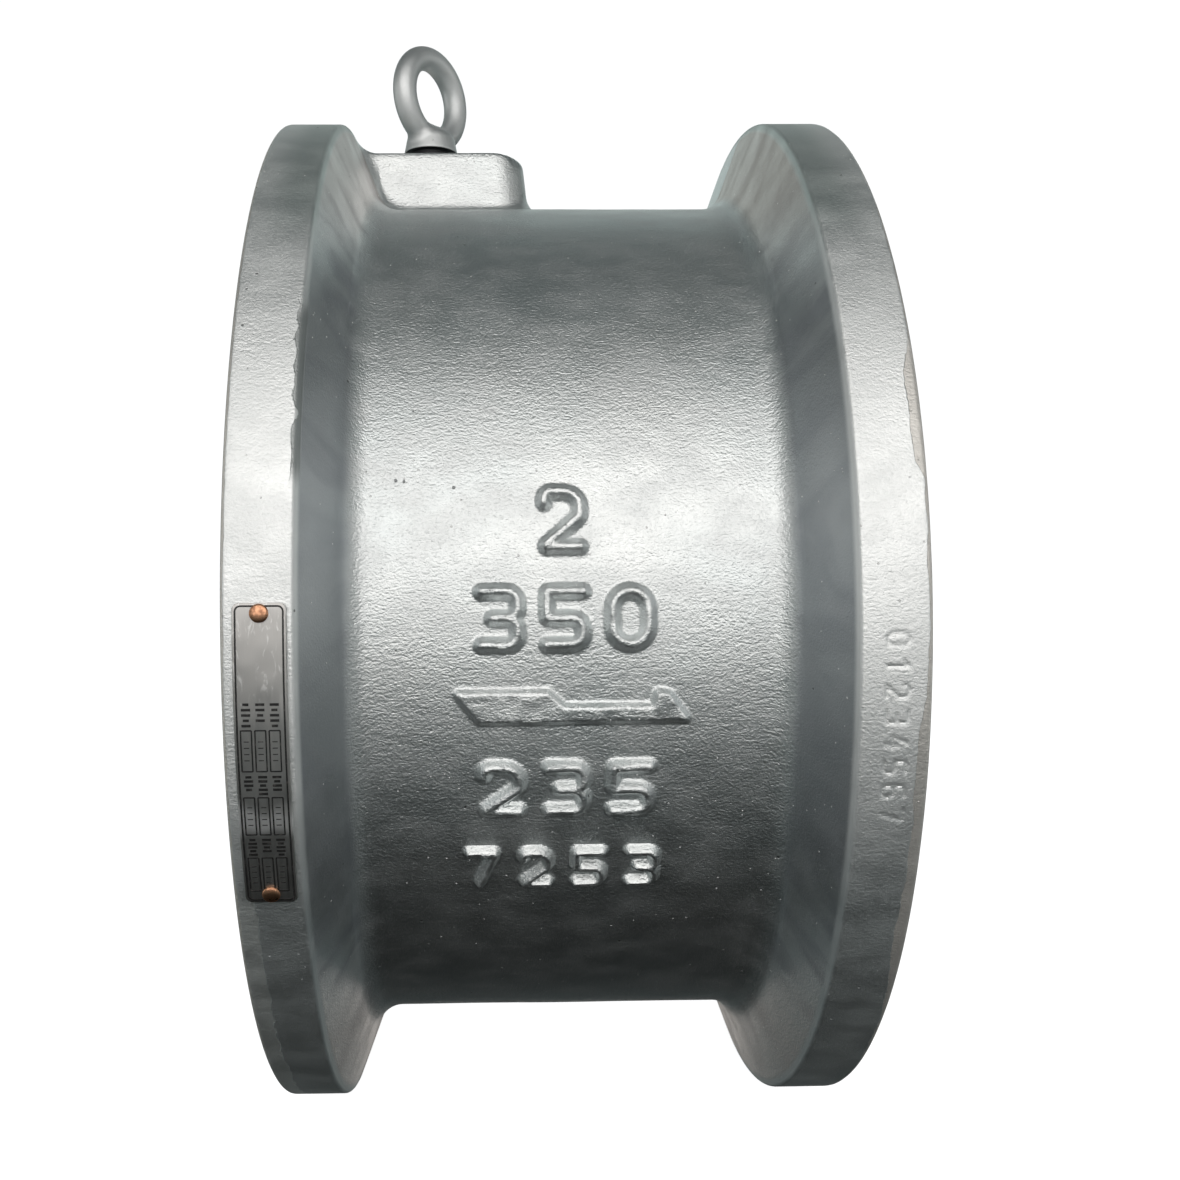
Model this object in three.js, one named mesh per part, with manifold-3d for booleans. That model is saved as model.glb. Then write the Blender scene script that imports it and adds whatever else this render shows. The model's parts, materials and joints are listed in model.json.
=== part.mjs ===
// Dual-plate wafer check valve, NPS 8, made to be clamped between two Class 600 pipe flanges.
// Millimetres. +X is the flow direction, +Z is up, and the origin is on the flow axis at mid-length.
// Front means -Y. The front plate and the rear plate are one part, used twice, turned over about X.
import * as THREE from "three";
import { mergeVertices } from "three/addons/utils/BufferGeometryUtils.js";
import Module from "manifold-3d";

const wasm = await Module();
wasm.setup();

// ---------- Driving dimensions ----------
const FIT_GAP = 0.3; // gap between pieces that touch
const MEET = 1; // how far joined solids run into each other

const FACE_TO_FACE = 165;
const RIM_RADIUS = 160;
const RIM_THICKNESS = 17;
const RIM_CHAMFER = 1.2;
const RIM_DRAFT = THREE.MathUtils.degToRad(20.5);
const BARREL_RADIUS = 134;
const BARREL_FILLET = 9;
const PORT_RADIUS = 95;
const CAVITY_RADIUS = 110;
const BODY_SIDES = 64;

const HINGE_X = -24;
const HINGE_PIN_RADIUS = 8;
const STOP_FROM_HINGE = 40;
const STOP_PIN_RADIUS = 8;
const PIN_BOSS_RADIUS = 15;
const PIN_BOSS_HEIGHT = 104; // the bosses' flats are this far above and below the axis
const PIN_HOLE_TOP = 122;
const PLUG_RADIUS = 11;
const PLUG_TOP = -121.3;
const PLUG_BOTTOM = -132;
const SOCKET_RADIUS = 5.8;
const SOCKET_DEPTH = 6;

const PLATE_RADIUS = 103;
const PLATE_THICKNESS = 16;
const PLATE_BACK = 16; // from the hinge axis upstream to the plates' backs
const PLATE_EDGE = 2; // from the centre plane to a plate's straight edge
const PLATE_BEVEL = 3;
const OPEN_ANGLE = THREE.MathUtils.degToRad(80);
const LUG_RADIUS = 14.5;
const LUG_FOOT = 20;
const LUG_SLOPE = THREE.MathUtils.degToRad(15); // where the foot's slope meets the round knuckle
const OUTER_LUG = [86, 100];
const INNER_LUG = [68, 82];
const STOP_BOSS_SIZE = 14;
const STOP_BOSS_HEIGHT = 30;
const STOP_BOSS_GAP = 0.45;

const SEAT_FACING_THICKNESS = 3.4;
const SEAT_FACING_RADIUS = 107;
const BRIDGE_WIDTH = 24;
const BRIDGE_NOSE_X = -79;
const BRIDGE_NOSE_LENGTH = 12;

const SPRING_RADIUS = 11.3;
const SPRING_WIRE_RADIUS = 2.25;
const SPRING_TURNS = 7;
const SPRING_STEPS = 104;
const SPRING_LOW = 8;
const SPRING_HIGH = 61;
const ACTING_LEG = 46;
const REACTION_LEG = 42;
const BEARING_RADIUS = 14;
const CENTRE_BEARING_RADIUS = 12.5;

const PAD_TOP = 154;
const PAD_HALF_WIDTH = 19;
const PAD_END_X = -8;
const PAD_CORNER = 11;
const PAD_BEVEL = 2;

const EYEBOLT_X = -40.8;
const EYE_CENTRE_Z = 179.3;
const EYE_RADIUS = 14.15; // to the middle of the bar
const EYE_BAR_RADIUS = 4.1;
const EYE_TURN = THREE.MathUtils.degToRad(53.6);
const EYEBOLT_NECK_RADIUS = 7.2;
const EYEBOLT_COLLAR_RADIUS = 9.3;
const EYEBOLT_COLLAR_BOTTOM = 159.3;
const EYEBOLT_CONE_TOP = 168;
const EYEBOLT_SHANK_RADIUS = 6;
const EYEBOLT_SHANK_BOTTOM = 131;

const NAMEPLATE_X = [-79.4, -66.9];
const NAMEPLATE_ANGLES = [THREE.MathUtils.degToRad(-26.1), THREE.MathUtils.degToRad(0.3)];
const NAMEPLATE_THICKNESS = 0.9;
const RIVET_INSET = THREE.MathUtils.degToRad(0.85);
const RIVET_SHANK_RADIUS = 1.2;
const RIVET_HEAD_RADIUS = 2.2;
const RIVET_HEAD_HEIGHT = 1;
const RIVET_DEPTH = 6;

const MARK_HEIGHT = 1.8;
const MARK_STROKE = 3;
// The flow arrow's outline, along the body and up, with a broad tail and one barb.
const ARROW_ANGLE = -11.1;
const ARROW_HEIGHT = 1.4;
const ARROW_OUTLINE = [
  [-29.5, 3.7],
  [-6, 3.7],
  [-2, 0],
  [20.5, 0],
  [21.5, 3.9],
  [24.5, 3.3],
  [29.5, -3.6],
  [-23.5, -3.9],
];
// Plain generic numerals. Angles are in degrees above the front centre line.
const MARK_ROWS = [
  { text: "2", angle: 9.1, x: -2.2, width: 12, height: 17, pitch: 16.4 },
  { text: "350", angle: -1.5, x: -1.7, width: 12, height: 16.3, pitch: 16.4 },
  { text: "235", angle: -20.6, x: -1.3, width: 12, height: 15.2, pitch: 16.5 },
  { text: "7253", angle: -31, x: -2, width: 9.7, height: 13.3, pitch: 14 },
];

// ---------- Derived dimensions ----------
const FACE_X = FACE_TO_FACE / 2;
const RIM_BACK_X = FACE_X - RIM_THICKNESS;
const PLATE_BACK_X = HINGE_X - PLATE_BACK;
const PLATE_SEAT_X = PLATE_BACK_X - PLATE_THICKNESS;
const SHOULDER_X = PLATE_SEAT_X - SEAT_FACING_THICKNESS - 2 * FIT_GAP;
const STOP_X = HINGE_X + STOP_FROM_HINGE;
const NAMEPLATE_RADIUS = RIM_RADIUS + FIT_GAP;
const RIVET_X = (NAMEPLATE_X[0] + NAMEPLATE_X[1]) / 2;
const RIVET_ANGLES = [NAMEPLATE_ANGLES[0] + RIVET_INSET, NAMEPLATE_ANGLES[1] - RIVET_INSET];

// ---------- Geometry helpers ----------
function signedVolume(geometry) {
  const position = geometry.attributes.position;
  const index = geometry.index;
  const [a, b, c] = [new THREE.Vector3(), new THREE.Vector3(), new THREE.Vector3()];
  let volume = 0;
  for (let i = 0; i < index.count; i += 3) {
    a.fromBufferAttribute(position, index.getX(i));
    b.fromBufferAttribute(position, index.getX(i + 1));
    c.fromBufferAttribute(position, index.getX(i + 2));
    volume += a.dot(b.cross(c)) / 6;
  }
  return volume;
}

function solidFrom(geometry) {
  const merged = geometry.clone();
  merged.deleteAttribute("normal");
  merged.deleteAttribute("uv");
  const welded = mergeVertices(merged, 1e-4);
  const triVerts = new Uint32Array(welded.index.array);
  if (signedVolume(welded) < 0) triVerts.reverse();
  const vertProperties = new Float32Array(welded.attributes.position.array);
  return new wasm.Manifold(new wasm.Mesh({ numProp: 3, vertProperties, triVerts }));
}

function geometryFrom(solid) {
  const mesh = solid.getMesh();
  const geometry = new THREE.BufferGeometry();
  geometry.setAttribute("position", new THREE.BufferAttribute(mesh.vertProperties, 3));
  geometry.setIndex(new THREE.BufferAttribute(mesh.triVerts, 1));
  geometry.computeVertexNormals();
  return geometry;
}

function join(...solids) {
  return solids.reduce((whole, solid) => whole.add(solid));
}

function cut(solid, ...tools) {
  return tools.reduce((rest, tool) => rest.subtract(tool), solid);
}

// A solid turned about the X axis from a closed outline of [x, radius] points.
function turnedAboutX(outline, sides) {
  const points = outline.map(([x, radius]) => new THREE.Vector2(radius, x));
  return solidFrom(new THREE.LatheGeometry(points, sides).rotateZ(-Math.PI / 2));
}

// A solid turned about a vertical line at x, from [radius, z] points that start and end on the line.
function turnedAboutZ(outline, x, sides) {
  const points = outline.map(([radius, z]) => new THREE.Vector2(radius, z));
  return solidFrom(new THREE.LatheGeometry(points, sides).rotateX(Math.PI / 2).translate(x, 0, 0));
}

function verticalCylinder(radius, low, high, x, sides = 24) {
  const cylinder = new THREE.CylinderGeometry(radius, radius, high - low, sides);
  return solidFrom(cylinder.rotateX(Math.PI / 2).translate(x, 0, (low + high) / 2));
}

// An (x, y) outline raised along Z.
function raised(shape, low, high, curveSegments = 12) {
  const options = { depth: high - low, bevelEnabled: false, curveSegments };
  return solidFrom(new THREE.ExtrudeGeometry(shape, options).translate(0, 0, low));
}

// Turns an extrusion so that its outline lies in (y, z) and its depth runs along X.
const ALONG_X = new THREE.Matrix4().makeBasis(
  new THREE.Vector3(0, 1, 0),
  new THREE.Vector3(0, 0, 1),
  new THREE.Vector3(1, 0, 0),
);

function carriedAlongX(shape, start, end, curveSegments = 12) {
  const options = { depth: end - start, bevelEnabled: false, curveSegments };
  return solidFrom(new THREE.ExtrudeGeometry(shape, options).applyMatrix4(ALONG_X).translate(start, 0, 0));
}

function polygon(points) {
  return new THREE.Shape(points.map(([u, v]) => new THREE.Vector2(u, v)));
}

// The frame that stands on a cylinder about X: u along X, v up round the front, w outward.
function frontFrame(angle, radius, x = 0) {
  const [sin, cos] = [Math.sin(angle), Math.cos(angle)];
  const frame = new THREE.Matrix4().makeBasis(
    new THREE.Vector3(1, 0, 0),
    new THREE.Vector3(0, sin, cos),
    new THREE.Vector3(0, -cos, sin),
  );
  return frame.setPosition(x, -radius * cos, radius * sin);
}

// ---------- Body ----------
// The rim's inner face leans in by the draft and runs into the barrel through a fillet.
function rimToBarrel() {
  const step = RIM_RADIUS - BARREL_RADIUS;
  const run = (BARREL_FILLET + (step - BARREL_FILLET) * Math.sin(RIM_DRAFT)) / Math.cos(RIM_DRAFT);
  const centreX = RIM_BACK_X - run;
  const points = [[RIM_BACK_X, RIM_RADIUS]];
  const steps = 4;
  for (let i = 0; i <= steps; i += 1) {
    const angle = -RIM_DRAFT - (i / steps) * (Math.PI / 2 - RIM_DRAFT);
    const x = centreX + BARREL_FILLET * Math.cos(angle);
    points.push([x, BARREL_RADIUS + BARREL_FILLET * (1 + Math.sin(angle))]);
  }
  return points;
}

function spool() {
  const outletSide = [
    [FACE_X, RIM_RADIUS - RIM_CHAMFER],
    [FACE_X - RIM_CHAMFER, RIM_RADIUS],
    ...rimToBarrel(),
  ];
  const inletSide = outletSide.map(([x, radius]) => [-x, radius]).reverse();
  const inside = [
    [-FACE_X, PORT_RADIUS],
    [SHOULDER_X, PORT_RADIUS],
    [SHOULDER_X, CAVITY_RADIUS],
    [FACE_X, CAVITY_RADIUS],
  ];
  return turnedAboutX([...outletSide, ...inletSide, ...inside, outletSide[0]], BODY_SIDES);
}

function bridge() {
  const half = BRIDGE_WIDTH / 2;
  const noseBack = BRIDGE_NOSE_X + BRIDGE_NOSE_LENGTH;
  const shape = new THREE.Shape();
  shape.moveTo(SHOULDER_X, -half);
  shape.lineTo(SHOULDER_X, half);
  shape.lineTo(noseBack, half);
  shape.absellipse(noseBack, 0, BRIDGE_NOSE_LENGTH, half, Math.PI / 2, (3 * Math.PI) / 2, false);
  const reach = PORT_RADIUS + 5;
  return raised(shape, -reach, reach, 8);
}

function liftingPad() {
  const left = -RIM_BACK_X - 4;
  const right = PAD_END_X - PAD_BEVEL;
  const half = PAD_HALF_WIDTH - PAD_BEVEL;
  const shape = new THREE.Shape();
  shape.moveTo(left, -half);
  shape.lineTo(right - PAD_CORNER, -half);
  shape.absarc(right - PAD_CORNER, -half + PAD_CORNER, PAD_CORNER, -Math.PI / 2, 0, false);
  shape.absarc(right - PAD_CORNER, half - PAD_CORNER, PAD_CORNER, 0, Math.PI / 2, false);
  shape.lineTo(left, half);
  const bottom = CAVITY_RADIUS + 10;
  const options = {
    depth: PAD_TOP - bottom - 2 * PAD_BEVEL,
    bevelEnabled: true,
    bevelSize: PAD_BEVEL,
    bevelThickness: PAD_BEVEL,
    bevelSegments: 2,
    curveSegments: 4,
  };
  return solidFrom(new THREE.ExtrudeGeometry(shape, options).translate(0, 0, bottom + PAD_BEVEL));
}

function pinBosses() {
  const reach = CAVITY_RADIUS + 6;
  return [HINGE_X, STOP_X].flatMap((x) => [
    verticalCylinder(PIN_BOSS_RADIUS, PIN_BOSS_HEIGHT, reach, x),
    verticalCylinder(PIN_BOSS_RADIUS, -reach, -PIN_BOSS_HEIGHT, x),
  ]);
}

// Each pin goes in from below and its hole ends blind in the top wall.
function pinHoles() {
  const below = -BARREL_RADIUS - 5;
  const pins = [
    [HINGE_X, HINGE_PIN_RADIUS],
    [STOP_X, STOP_PIN_RADIUS],
  ];
  return pins.flatMap(([x, radius]) => [
    verticalCylinder(radius + FIT_GAP, below, PIN_HOLE_TOP, x),
    verticalCylinder(PLUG_RADIUS + FIT_GAP, below, PLUG_TOP + FIT_GAP, x),
  ]);
}

function rivetPiece(radius, from, to, angle) {
  const cylinder = new THREE.CylinderGeometry(radius, radius, to - from, 12);
  cylinder.rotateX(Math.PI / 2).translate(0, 0, (from + to) / 2);
  return solidFrom(cylinder.applyMatrix4(frontFrame(angle, RIM_RADIUS, RIVET_X)));
}

function rivetHole(angle) {
  return rivetPiece(RIVET_SHANK_RADIUS + FIT_GAP, -RIVET_DEPTH - FIT_GAP, 5, angle);
}

// The seven bars of a block numeral, as [x, y, length, upright] in halves of its width and height.
const BARS = {
  top: [0, 1, 2, false],
  middle: [0, 0, 2, false],
  bottom: [0, -1, 2, false],
  upperLeft: [-1, 0.5, 1, true],
  upperRight: [1, 0.5, 1, true],
  lowerLeft: [-1, -0.5, 1, true],
  lowerRight: [1, -0.5, 1, true],
};
const NUMERALS = {
  0: ["top", "bottom", "upperLeft", "upperRight", "lowerLeft", "lowerRight"],
  2: ["top", "upperRight", "middle", "lowerLeft", "bottom"],
  3: ["top", "upperRight", "middle", "lowerRight", "bottom"],
  5: ["top", "upperLeft", "middle", "lowerRight", "bottom"],
  7: ["top", "upperRight", "lowerRight"],
};

function onBarrel(geometry, angle) {
  const frame = frontFrame(THREE.MathUtils.degToRad(angle), BARREL_RADIUS);
  return solidFrom(geometry.applyMatrix4(frame));
}

function numeral(digit, x, row) {
  const halfWidth = (row.width - MARK_STROKE) / 2;
  const halfHeight = (row.height - MARK_STROKE) / 2;
  return NUMERALS[digit].map((name) => {
    const [u, v, length, upright] = BARS[name];
    const span = length * (upright ? halfHeight : halfWidth) + MARK_STROKE;
    const size = upright ? [MARK_STROKE, span] : [span, MARK_STROKE];
    const bar = new THREE.BoxGeometry(size[0], size[1], MARK_HEIGHT + 2 * MEET);
    bar.translate(x + u * halfWidth, v * halfHeight, MARK_HEIGHT / 2 - MEET);
    return onBarrel(bar, row.angle);
  });
}

function flowArrow() {
  const options = { depth: ARROW_HEIGHT + 2 * MEET, bevelEnabled: false };
  const arrow = new THREE.ExtrudeGeometry(polygon(ARROW_OUTLINE), options);
  return onBarrel(arrow.translate(0, 0, -2 * MEET), ARROW_ANGLE);
}

function castMarks() {
  const numerals = MARK_ROWS.flatMap((row) =>
    [...row.text].flatMap((digit, i) => {
      const x = row.x + (i - (row.text.length - 1) / 2) * row.pitch;
      return numeral(digit, x, row);
    }),
  );
  return [...numerals, flowArrow()];
}

function body() {
  const eyeboltHole = verticalCylinder(
    EYEBOLT_SHANK_RADIUS + FIT_GAP,
    EYEBOLT_SHANK_BOTTOM - FIT_GAP,
    PAD_TOP + 5,
    EYEBOLT_X,
  );
  const casting = join(spool(), bridge(), liftingPad(), ...pinBosses(), ...castMarks());
  return cut(casting, ...pinHoles(), eyeboltHole, ...RIVET_ANGLES.map(rivetHole));
}

// A half disc in (y, z) on the side that sign gives, with its straight edge off the centre plane.
function halfDisc(radius, edge, sign) {
  const tilt = Math.asin(edge / radius);
  const shape = new THREE.Shape();
  if (sign > 0) shape.absarc(0, 0, radius, tilt - Math.PI / 2, Math.PI / 2 - tilt, false);
  else shape.absarc(0, 0, radius, Math.PI / 2 + tilt, (3 * Math.PI) / 2 - tilt, false);
  return shape;
}

function seatFacing() {
  const start = SHOULDER_X + FIT_GAP;
  const end = start + SEAT_FACING_THICKNESS;
  const disc = new THREE.Shape().absarc(0, 0, SEAT_FACING_RADIUS, 0, 2 * Math.PI, false);
  const ports = [-1, 1].map((sign) => {
    const shape = halfDisc(PORT_RADIUS + FIT_GAP, BRIDGE_WIDTH / 2 - FIT_GAP, sign);
    return carriedAlongX(shape, start - MEET, end + MEET, 24);
  });
  return cut(carriedAlongX(disc, start, end, 28), ...ports);
}

// ---------- Plates ----------
// Only the back edge is bevelled, so the bevel on the seat side is cut away.
function plateDisc() {
  const outline = halfDisc(PLATE_RADIUS - PLATE_BEVEL, PLATE_EDGE + PLATE_BEVEL, -1);
  const bevelled = new THREE.ExtrudeGeometry(outline, {
    depth: PLATE_THICKNESS,
    bevelEnabled: true,
    bevelSize: PLATE_BEVEL,
    bevelThickness: PLATE_BEVEL,
    bevelSegments: 1,
    curveSegments: 32,
  });
  bevelled.applyMatrix4(ALONG_X).translate(PLATE_SEAT_X - PLATE_BEVEL, 0, 0);
  const seatSide = new THREE.BoxGeometry(PLATE_THICKNESS, 3 * PLATE_RADIUS, 3 * PLATE_RADIUS);
  seatSide.translate(PLATE_SEAT_X - PLATE_THICKNESS / 2, 0, 0);
  return cut(solidFrom(bevelled), solidFrom(seatSide));
}

function lug([low, high]) {
  const root = -PLATE_BACK - MEET;
  const foot = polygon([
    [root, -PLATE_EDGE],
    [root, -PLATE_EDGE - LUG_FOOT],
    [-PLATE_BACK, -PLATE_EDGE - LUG_FOOT],
    [-LUG_RADIUS * Math.sin(LUG_SLOPE), -LUG_RADIUS * Math.cos(LUG_SLOPE)],
    [0, 0],
    [-LUG_RADIUS + MEET, -PLATE_EDGE],
  ]);
  const knuckle = verticalCylinder(LUG_RADIUS, low, high, HINGE_X);
  return join(raised(foot, low, high).translate([HINGE_X, 0, 0]), knuckle);
}

// At full opening each boss meets the stop pin, so its height follows from the opening angle.
function stopBoss(z) {
  const top = STOP_FROM_HINGE * Math.cos(OPEN_ANGLE) - STOP_PIN_RADIUS - STOP_BOSS_GAP;
  const reach = STOP_FROM_HINGE * Math.sin(OPEN_ANGLE);
  const height = top + PLATE_BACK + MEET;
  const block = new THREE.BoxGeometry(height, STOP_BOSS_SIZE, STOP_BOSS_SIZE);
  return solidFrom(block.translate(HINGE_X + top - height / 2, -reach, z));
}

function plate() {
  const lugs = [lug(OUTER_LUG), lug([-INNER_LUG[1], -INNER_LUG[0]])];
  const bosses = [stopBoss(STOP_BOSS_HEIGHT), stopBoss(-STOP_BOSS_HEIGHT)];
  const pinHole = verticalCylinder(
    HINGE_PIN_RADIUS + FIT_GAP,
    -PLATE_RADIUS - 5,
    PLATE_RADIUS + 5,
    HINGE_X,
  );
  return cut(join(plateDisc(), ...lugs, ...bosses), pinHole);
}

// ---------- Pins, plugs, bearings and springs ----------
function pin(radius, x) {
  const chamfer = 1;
  const [low, high] = [PLUG_TOP + 2 * FIT_GAP, PIN_HOLE_TOP - FIT_GAP];
  const outline = [
    [0, low],
    [radius - chamfer, low],
    [radius, low + chamfer],
    [radius, high - chamfer],
    [radius - chamfer, high],
    [0, high],
  ];
  return turnedAboutZ(outline, x, 24);
}

function plug(x) {
  const socket = verticalCylinder(SOCKET_RADIUS, PLUG_BOTTOM - MEET, PLUG_BOTTOM + SOCKET_DEPTH, x, 6);
  return cut(verticalCylinder(PLUG_RADIUS, PLUG_BOTTOM, PLUG_TOP, x), socket);
}

// A washer on the hinge pin that fills the space between two heights.
function bearing(low, high, radius = BEARING_RADIUS) {
  const hole = verticalCylinder(HINGE_PIN_RADIUS + FIT_GAP, low - MEET, high + MEET, HINGE_X, 18);
  return cut(verticalCylinder(radius, low + FIT_GAP, high - FIT_GAP, HINGE_X, 18), hole);
}

// The coil winds anticlockwise, seen from above, on its way down from the stop pin to the plate.
class SpringWire extends THREE.Curve {
  constructor() {
    super();
    const besideStopPin = STOP_PIN_RADIUS + SPRING_WIRE_RADIUS + FIT_GAP;
    this.start = Math.PI / 2 - Math.asin((SPRING_RADIUS + besideStopPin) / STOP_FROM_HINGE);
    const finish = Math.PI;
    this.sweep = finish - this.start + 2 * Math.PI * SPRING_TURNS;
    this.coilLength = Math.hypot(this.sweep * SPRING_RADIUS, SPRING_HIGH - SPRING_LOW);
    this.length = REACTION_LEG + this.coilLength + ACTING_LEG;
  }

  onCoil(share) {
    const angle = this.start + share * this.sweep;
    const z = SPRING_HIGH + share * (SPRING_LOW - SPRING_HIGH);
    return new THREE.Vector3(HINGE_X + SPRING_RADIUS * Math.cos(angle), SPRING_RADIUS * Math.sin(angle), z);
  }

  getPoint(t) {
    const along = t * this.length;
    if (along < REACTION_LEG) {
      const back = REACTION_LEG - along;
      const inward = new THREE.Vector3(-Math.sin(this.start), Math.cos(this.start), 0);
      return this.onCoil(0).addScaledVector(inward, -back);
    }
    const share = (along - REACTION_LEG) / this.coilLength;
    if (share <= 1) return this.onCoil(share);
    const lean = PLATE_BACK - SPRING_WIRE_RADIUS - FIT_GAP - SPRING_RADIUS;
    const out = along - REACTION_LEG - this.coilLength;
    return this.onCoil(1).add(new THREE.Vector3((-lean * out) / ACTING_LEG, -out, 0));
  }
}

function spring() {
  const wire = new THREE.Shape().absarc(0, 0, SPRING_WIRE_RADIUS, 0, 2 * Math.PI, false);
  const path = new SpringWire();
  const options = { steps: SPRING_STEPS, extrudePath: path, bevelEnabled: false, curveSegments: 3 };
  return solidFrom(new THREE.ExtrudeGeometry(wire, options));
}

// ---------- Eyebolt and nameplate ----------
function eyebolt() {
  const ring = new THREE.TorusGeometry(EYE_RADIUS, EYE_BAR_RADIUS, 10, 28);
  ring.rotateX(Math.PI / 2).rotateZ(EYE_TURN).translate(EYEBOLT_X, 0, EYE_CENTRE_Z);
  const foot = [
    [0, EYEBOLT_SHANK_BOTTOM],
    [EYEBOLT_SHANK_RADIUS, EYEBOLT_SHANK_BOTTOM],
    [EYEBOLT_SHANK_RADIUS, PAD_TOP + FIT_GAP],
    [EYEBOLT_NECK_RADIUS, PAD_TOP + FIT_GAP],
    [EYEBOLT_NECK_RADIUS, EYEBOLT_COLLAR_BOTTOM],
    [EYEBOLT_COLLAR_RADIUS, EYEBOLT_COLLAR_BOTTOM],
    [EYEBOLT_COLLAR_RADIUS, EYEBOLT_COLLAR_BOTTOM + 1],
    [EYEBOLT_COLLAR_RADIUS - 1.7, EYEBOLT_CONE_TOP - 1],
    [EYE_BAR_RADIUS, EYEBOLT_CONE_TOP],
    [0, EYEBOLT_CONE_TOP],
  ];
  return join(solidFrom(ring), turnedAboutZ(foot, EYEBOLT_X, 20));
}

function nameplate() {
  const outer = NAMEPLATE_RADIUS + NAMEPLATE_THICKNESS;
  const [low, high] = NAMEPLATE_ANGLES.map((angle) => Math.PI - angle);
  const shape = new THREE.Shape();
  shape.absarc(0, 0, outer, high, low, false);
  shape.absarc(0, 0, NAMEPLATE_RADIUS, low, high, true);
  const sheet = carriedAlongX(shape, NAMEPLATE_X[0], NAMEPLATE_X[1], 10);
  return cut(sheet, ...RIVET_ANGLES.map(rivetHole));
}

function rivet(angle) {
  const seat = NAMEPLATE_RADIUS - RIM_RADIUS + NAMEPLATE_THICKNESS + FIT_GAP;
  const outline = [
    [0, seat - 0.1],
    [RIVET_HEAD_RADIUS, seat],
    [RIVET_HEAD_RADIUS * 0.8, seat + RIVET_HEAD_HEIGHT * 0.65],
    [0, seat + RIVET_HEAD_HEIGHT],
  ];
  const points = outline.map(([radius, height]) => new THREE.Vector2(radius, height));
  const head = new THREE.LatheGeometry(points, 12).rotateX(Math.PI / 2);
  head.applyMatrix4(frontFrame(angle, RIM_RADIUS, RIVET_X));
  return join(solidFrom(head), rivetPiece(RIVET_SHANK_RADIUS, -RIVET_DEPTH, seat + 0.3, angle));
}

// ---------- Materials ----------
const finish = (color, roughness, metalness) =>
  new THREE.MeshStandardMaterial({ color, roughness, metalness });
const SILVER_PAINT = finish(0xa9aeab, 0.45, 0.35);
const CAST_STAINLESS = finish(0x9a9a96, 0.5, 0.9);
const MACHINED_STAINLESS = finish(0xb8b8b6, 0.3, 1);
const SPRING_STEEL = finish(0x8d8f93, 0.3, 1);
const HARD_FACING = finish(0x8c8a84, 0.25, 1);
const PLUG_STEEL = finish(0x77797b, 0.5, 0.8);
const PLATE_METAL = finish(0xaaa69f, 0.35, 0.9);
const COPPER = finish(0xb8886a, 0.35, 0.9);

// ---------- Assembly ----------
const valve = new THREE.Group();

function place(name, solid, material, turnedOver = false) {
  const mesh = new THREE.Mesh(geometryFrom(solid), material);
  mesh.name = name;
  if (turnedOver) mesh.rotation.x = Math.PI;
  valve.add(mesh);
}

place("body", body(), SILVER_PAINT);
place("seat_facing", seatFacing(), HARD_FACING);
place("front_plate", plate(), CAST_STAINLESS);
place("rear_plate", plate(), CAST_STAINLESS, true);
place("hinge_pin", pin(HINGE_PIN_RADIUS, HINGE_X), MACHINED_STAINLESS);
place("stop_pin", pin(STOP_PIN_RADIUS, STOP_X), MACHINED_STAINLESS);
place("hinge_pin_plug", plug(HINGE_X), PLUG_STEEL);
place("stop_pin_plug", plug(STOP_X), PLUG_STEEL);
for (const [side, turnedOver] of [["upper", false], ["lower", true]]) {
  place(`${side}_spring`, spring(), SPRING_STEEL, turnedOver);
  place(`${side}_body_bearing`, bearing(OUTER_LUG[1], PIN_BOSS_HEIGHT), MACHINED_STAINLESS, turnedOver);
  place(`${side}_plate_bearing`, bearing(INNER_LUG[1], OUTER_LUG[0]), MACHINED_STAINLESS, turnedOver);
  const springBearing = bearing(SPRING_HIGH + SPRING_WIRE_RADIUS, INNER_LUG[0]);
  place(`${side}_spring_bearing`, springBearing, MACHINED_STAINLESS, turnedOver);
}
const springFoot = SPRING_LOW - SPRING_WIRE_RADIUS;
const centreBearing = bearing(-springFoot, springFoot, CENTRE_BEARING_RADIUS);
place("centre_spring_bearing", centreBearing, MACHINED_STAINLESS);
place("eyebolt", eyebolt(), SILVER_PAINT);
place("nameplate", nameplate(), PLATE_METAL);
place("lower_nameplate_rivet", rivet(RIVET_ANGLES[0]), COPPER);
place("upper_nameplate_rivet", rivet(RIVET_ANGLES[1]), COPPER);

export default valve;
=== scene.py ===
"""The looks of a dual-plate wafer check valve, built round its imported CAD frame.

Shapes are worked out in millimetres in the row frame and become metres in new_object: +X is the
flow, +Z is up, and the front is -Y. Angles round the body start at the front and go up over the top.
"""

import json
import math

import bpy
import numpy as np
from mathutils import Matrix, Vector

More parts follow.
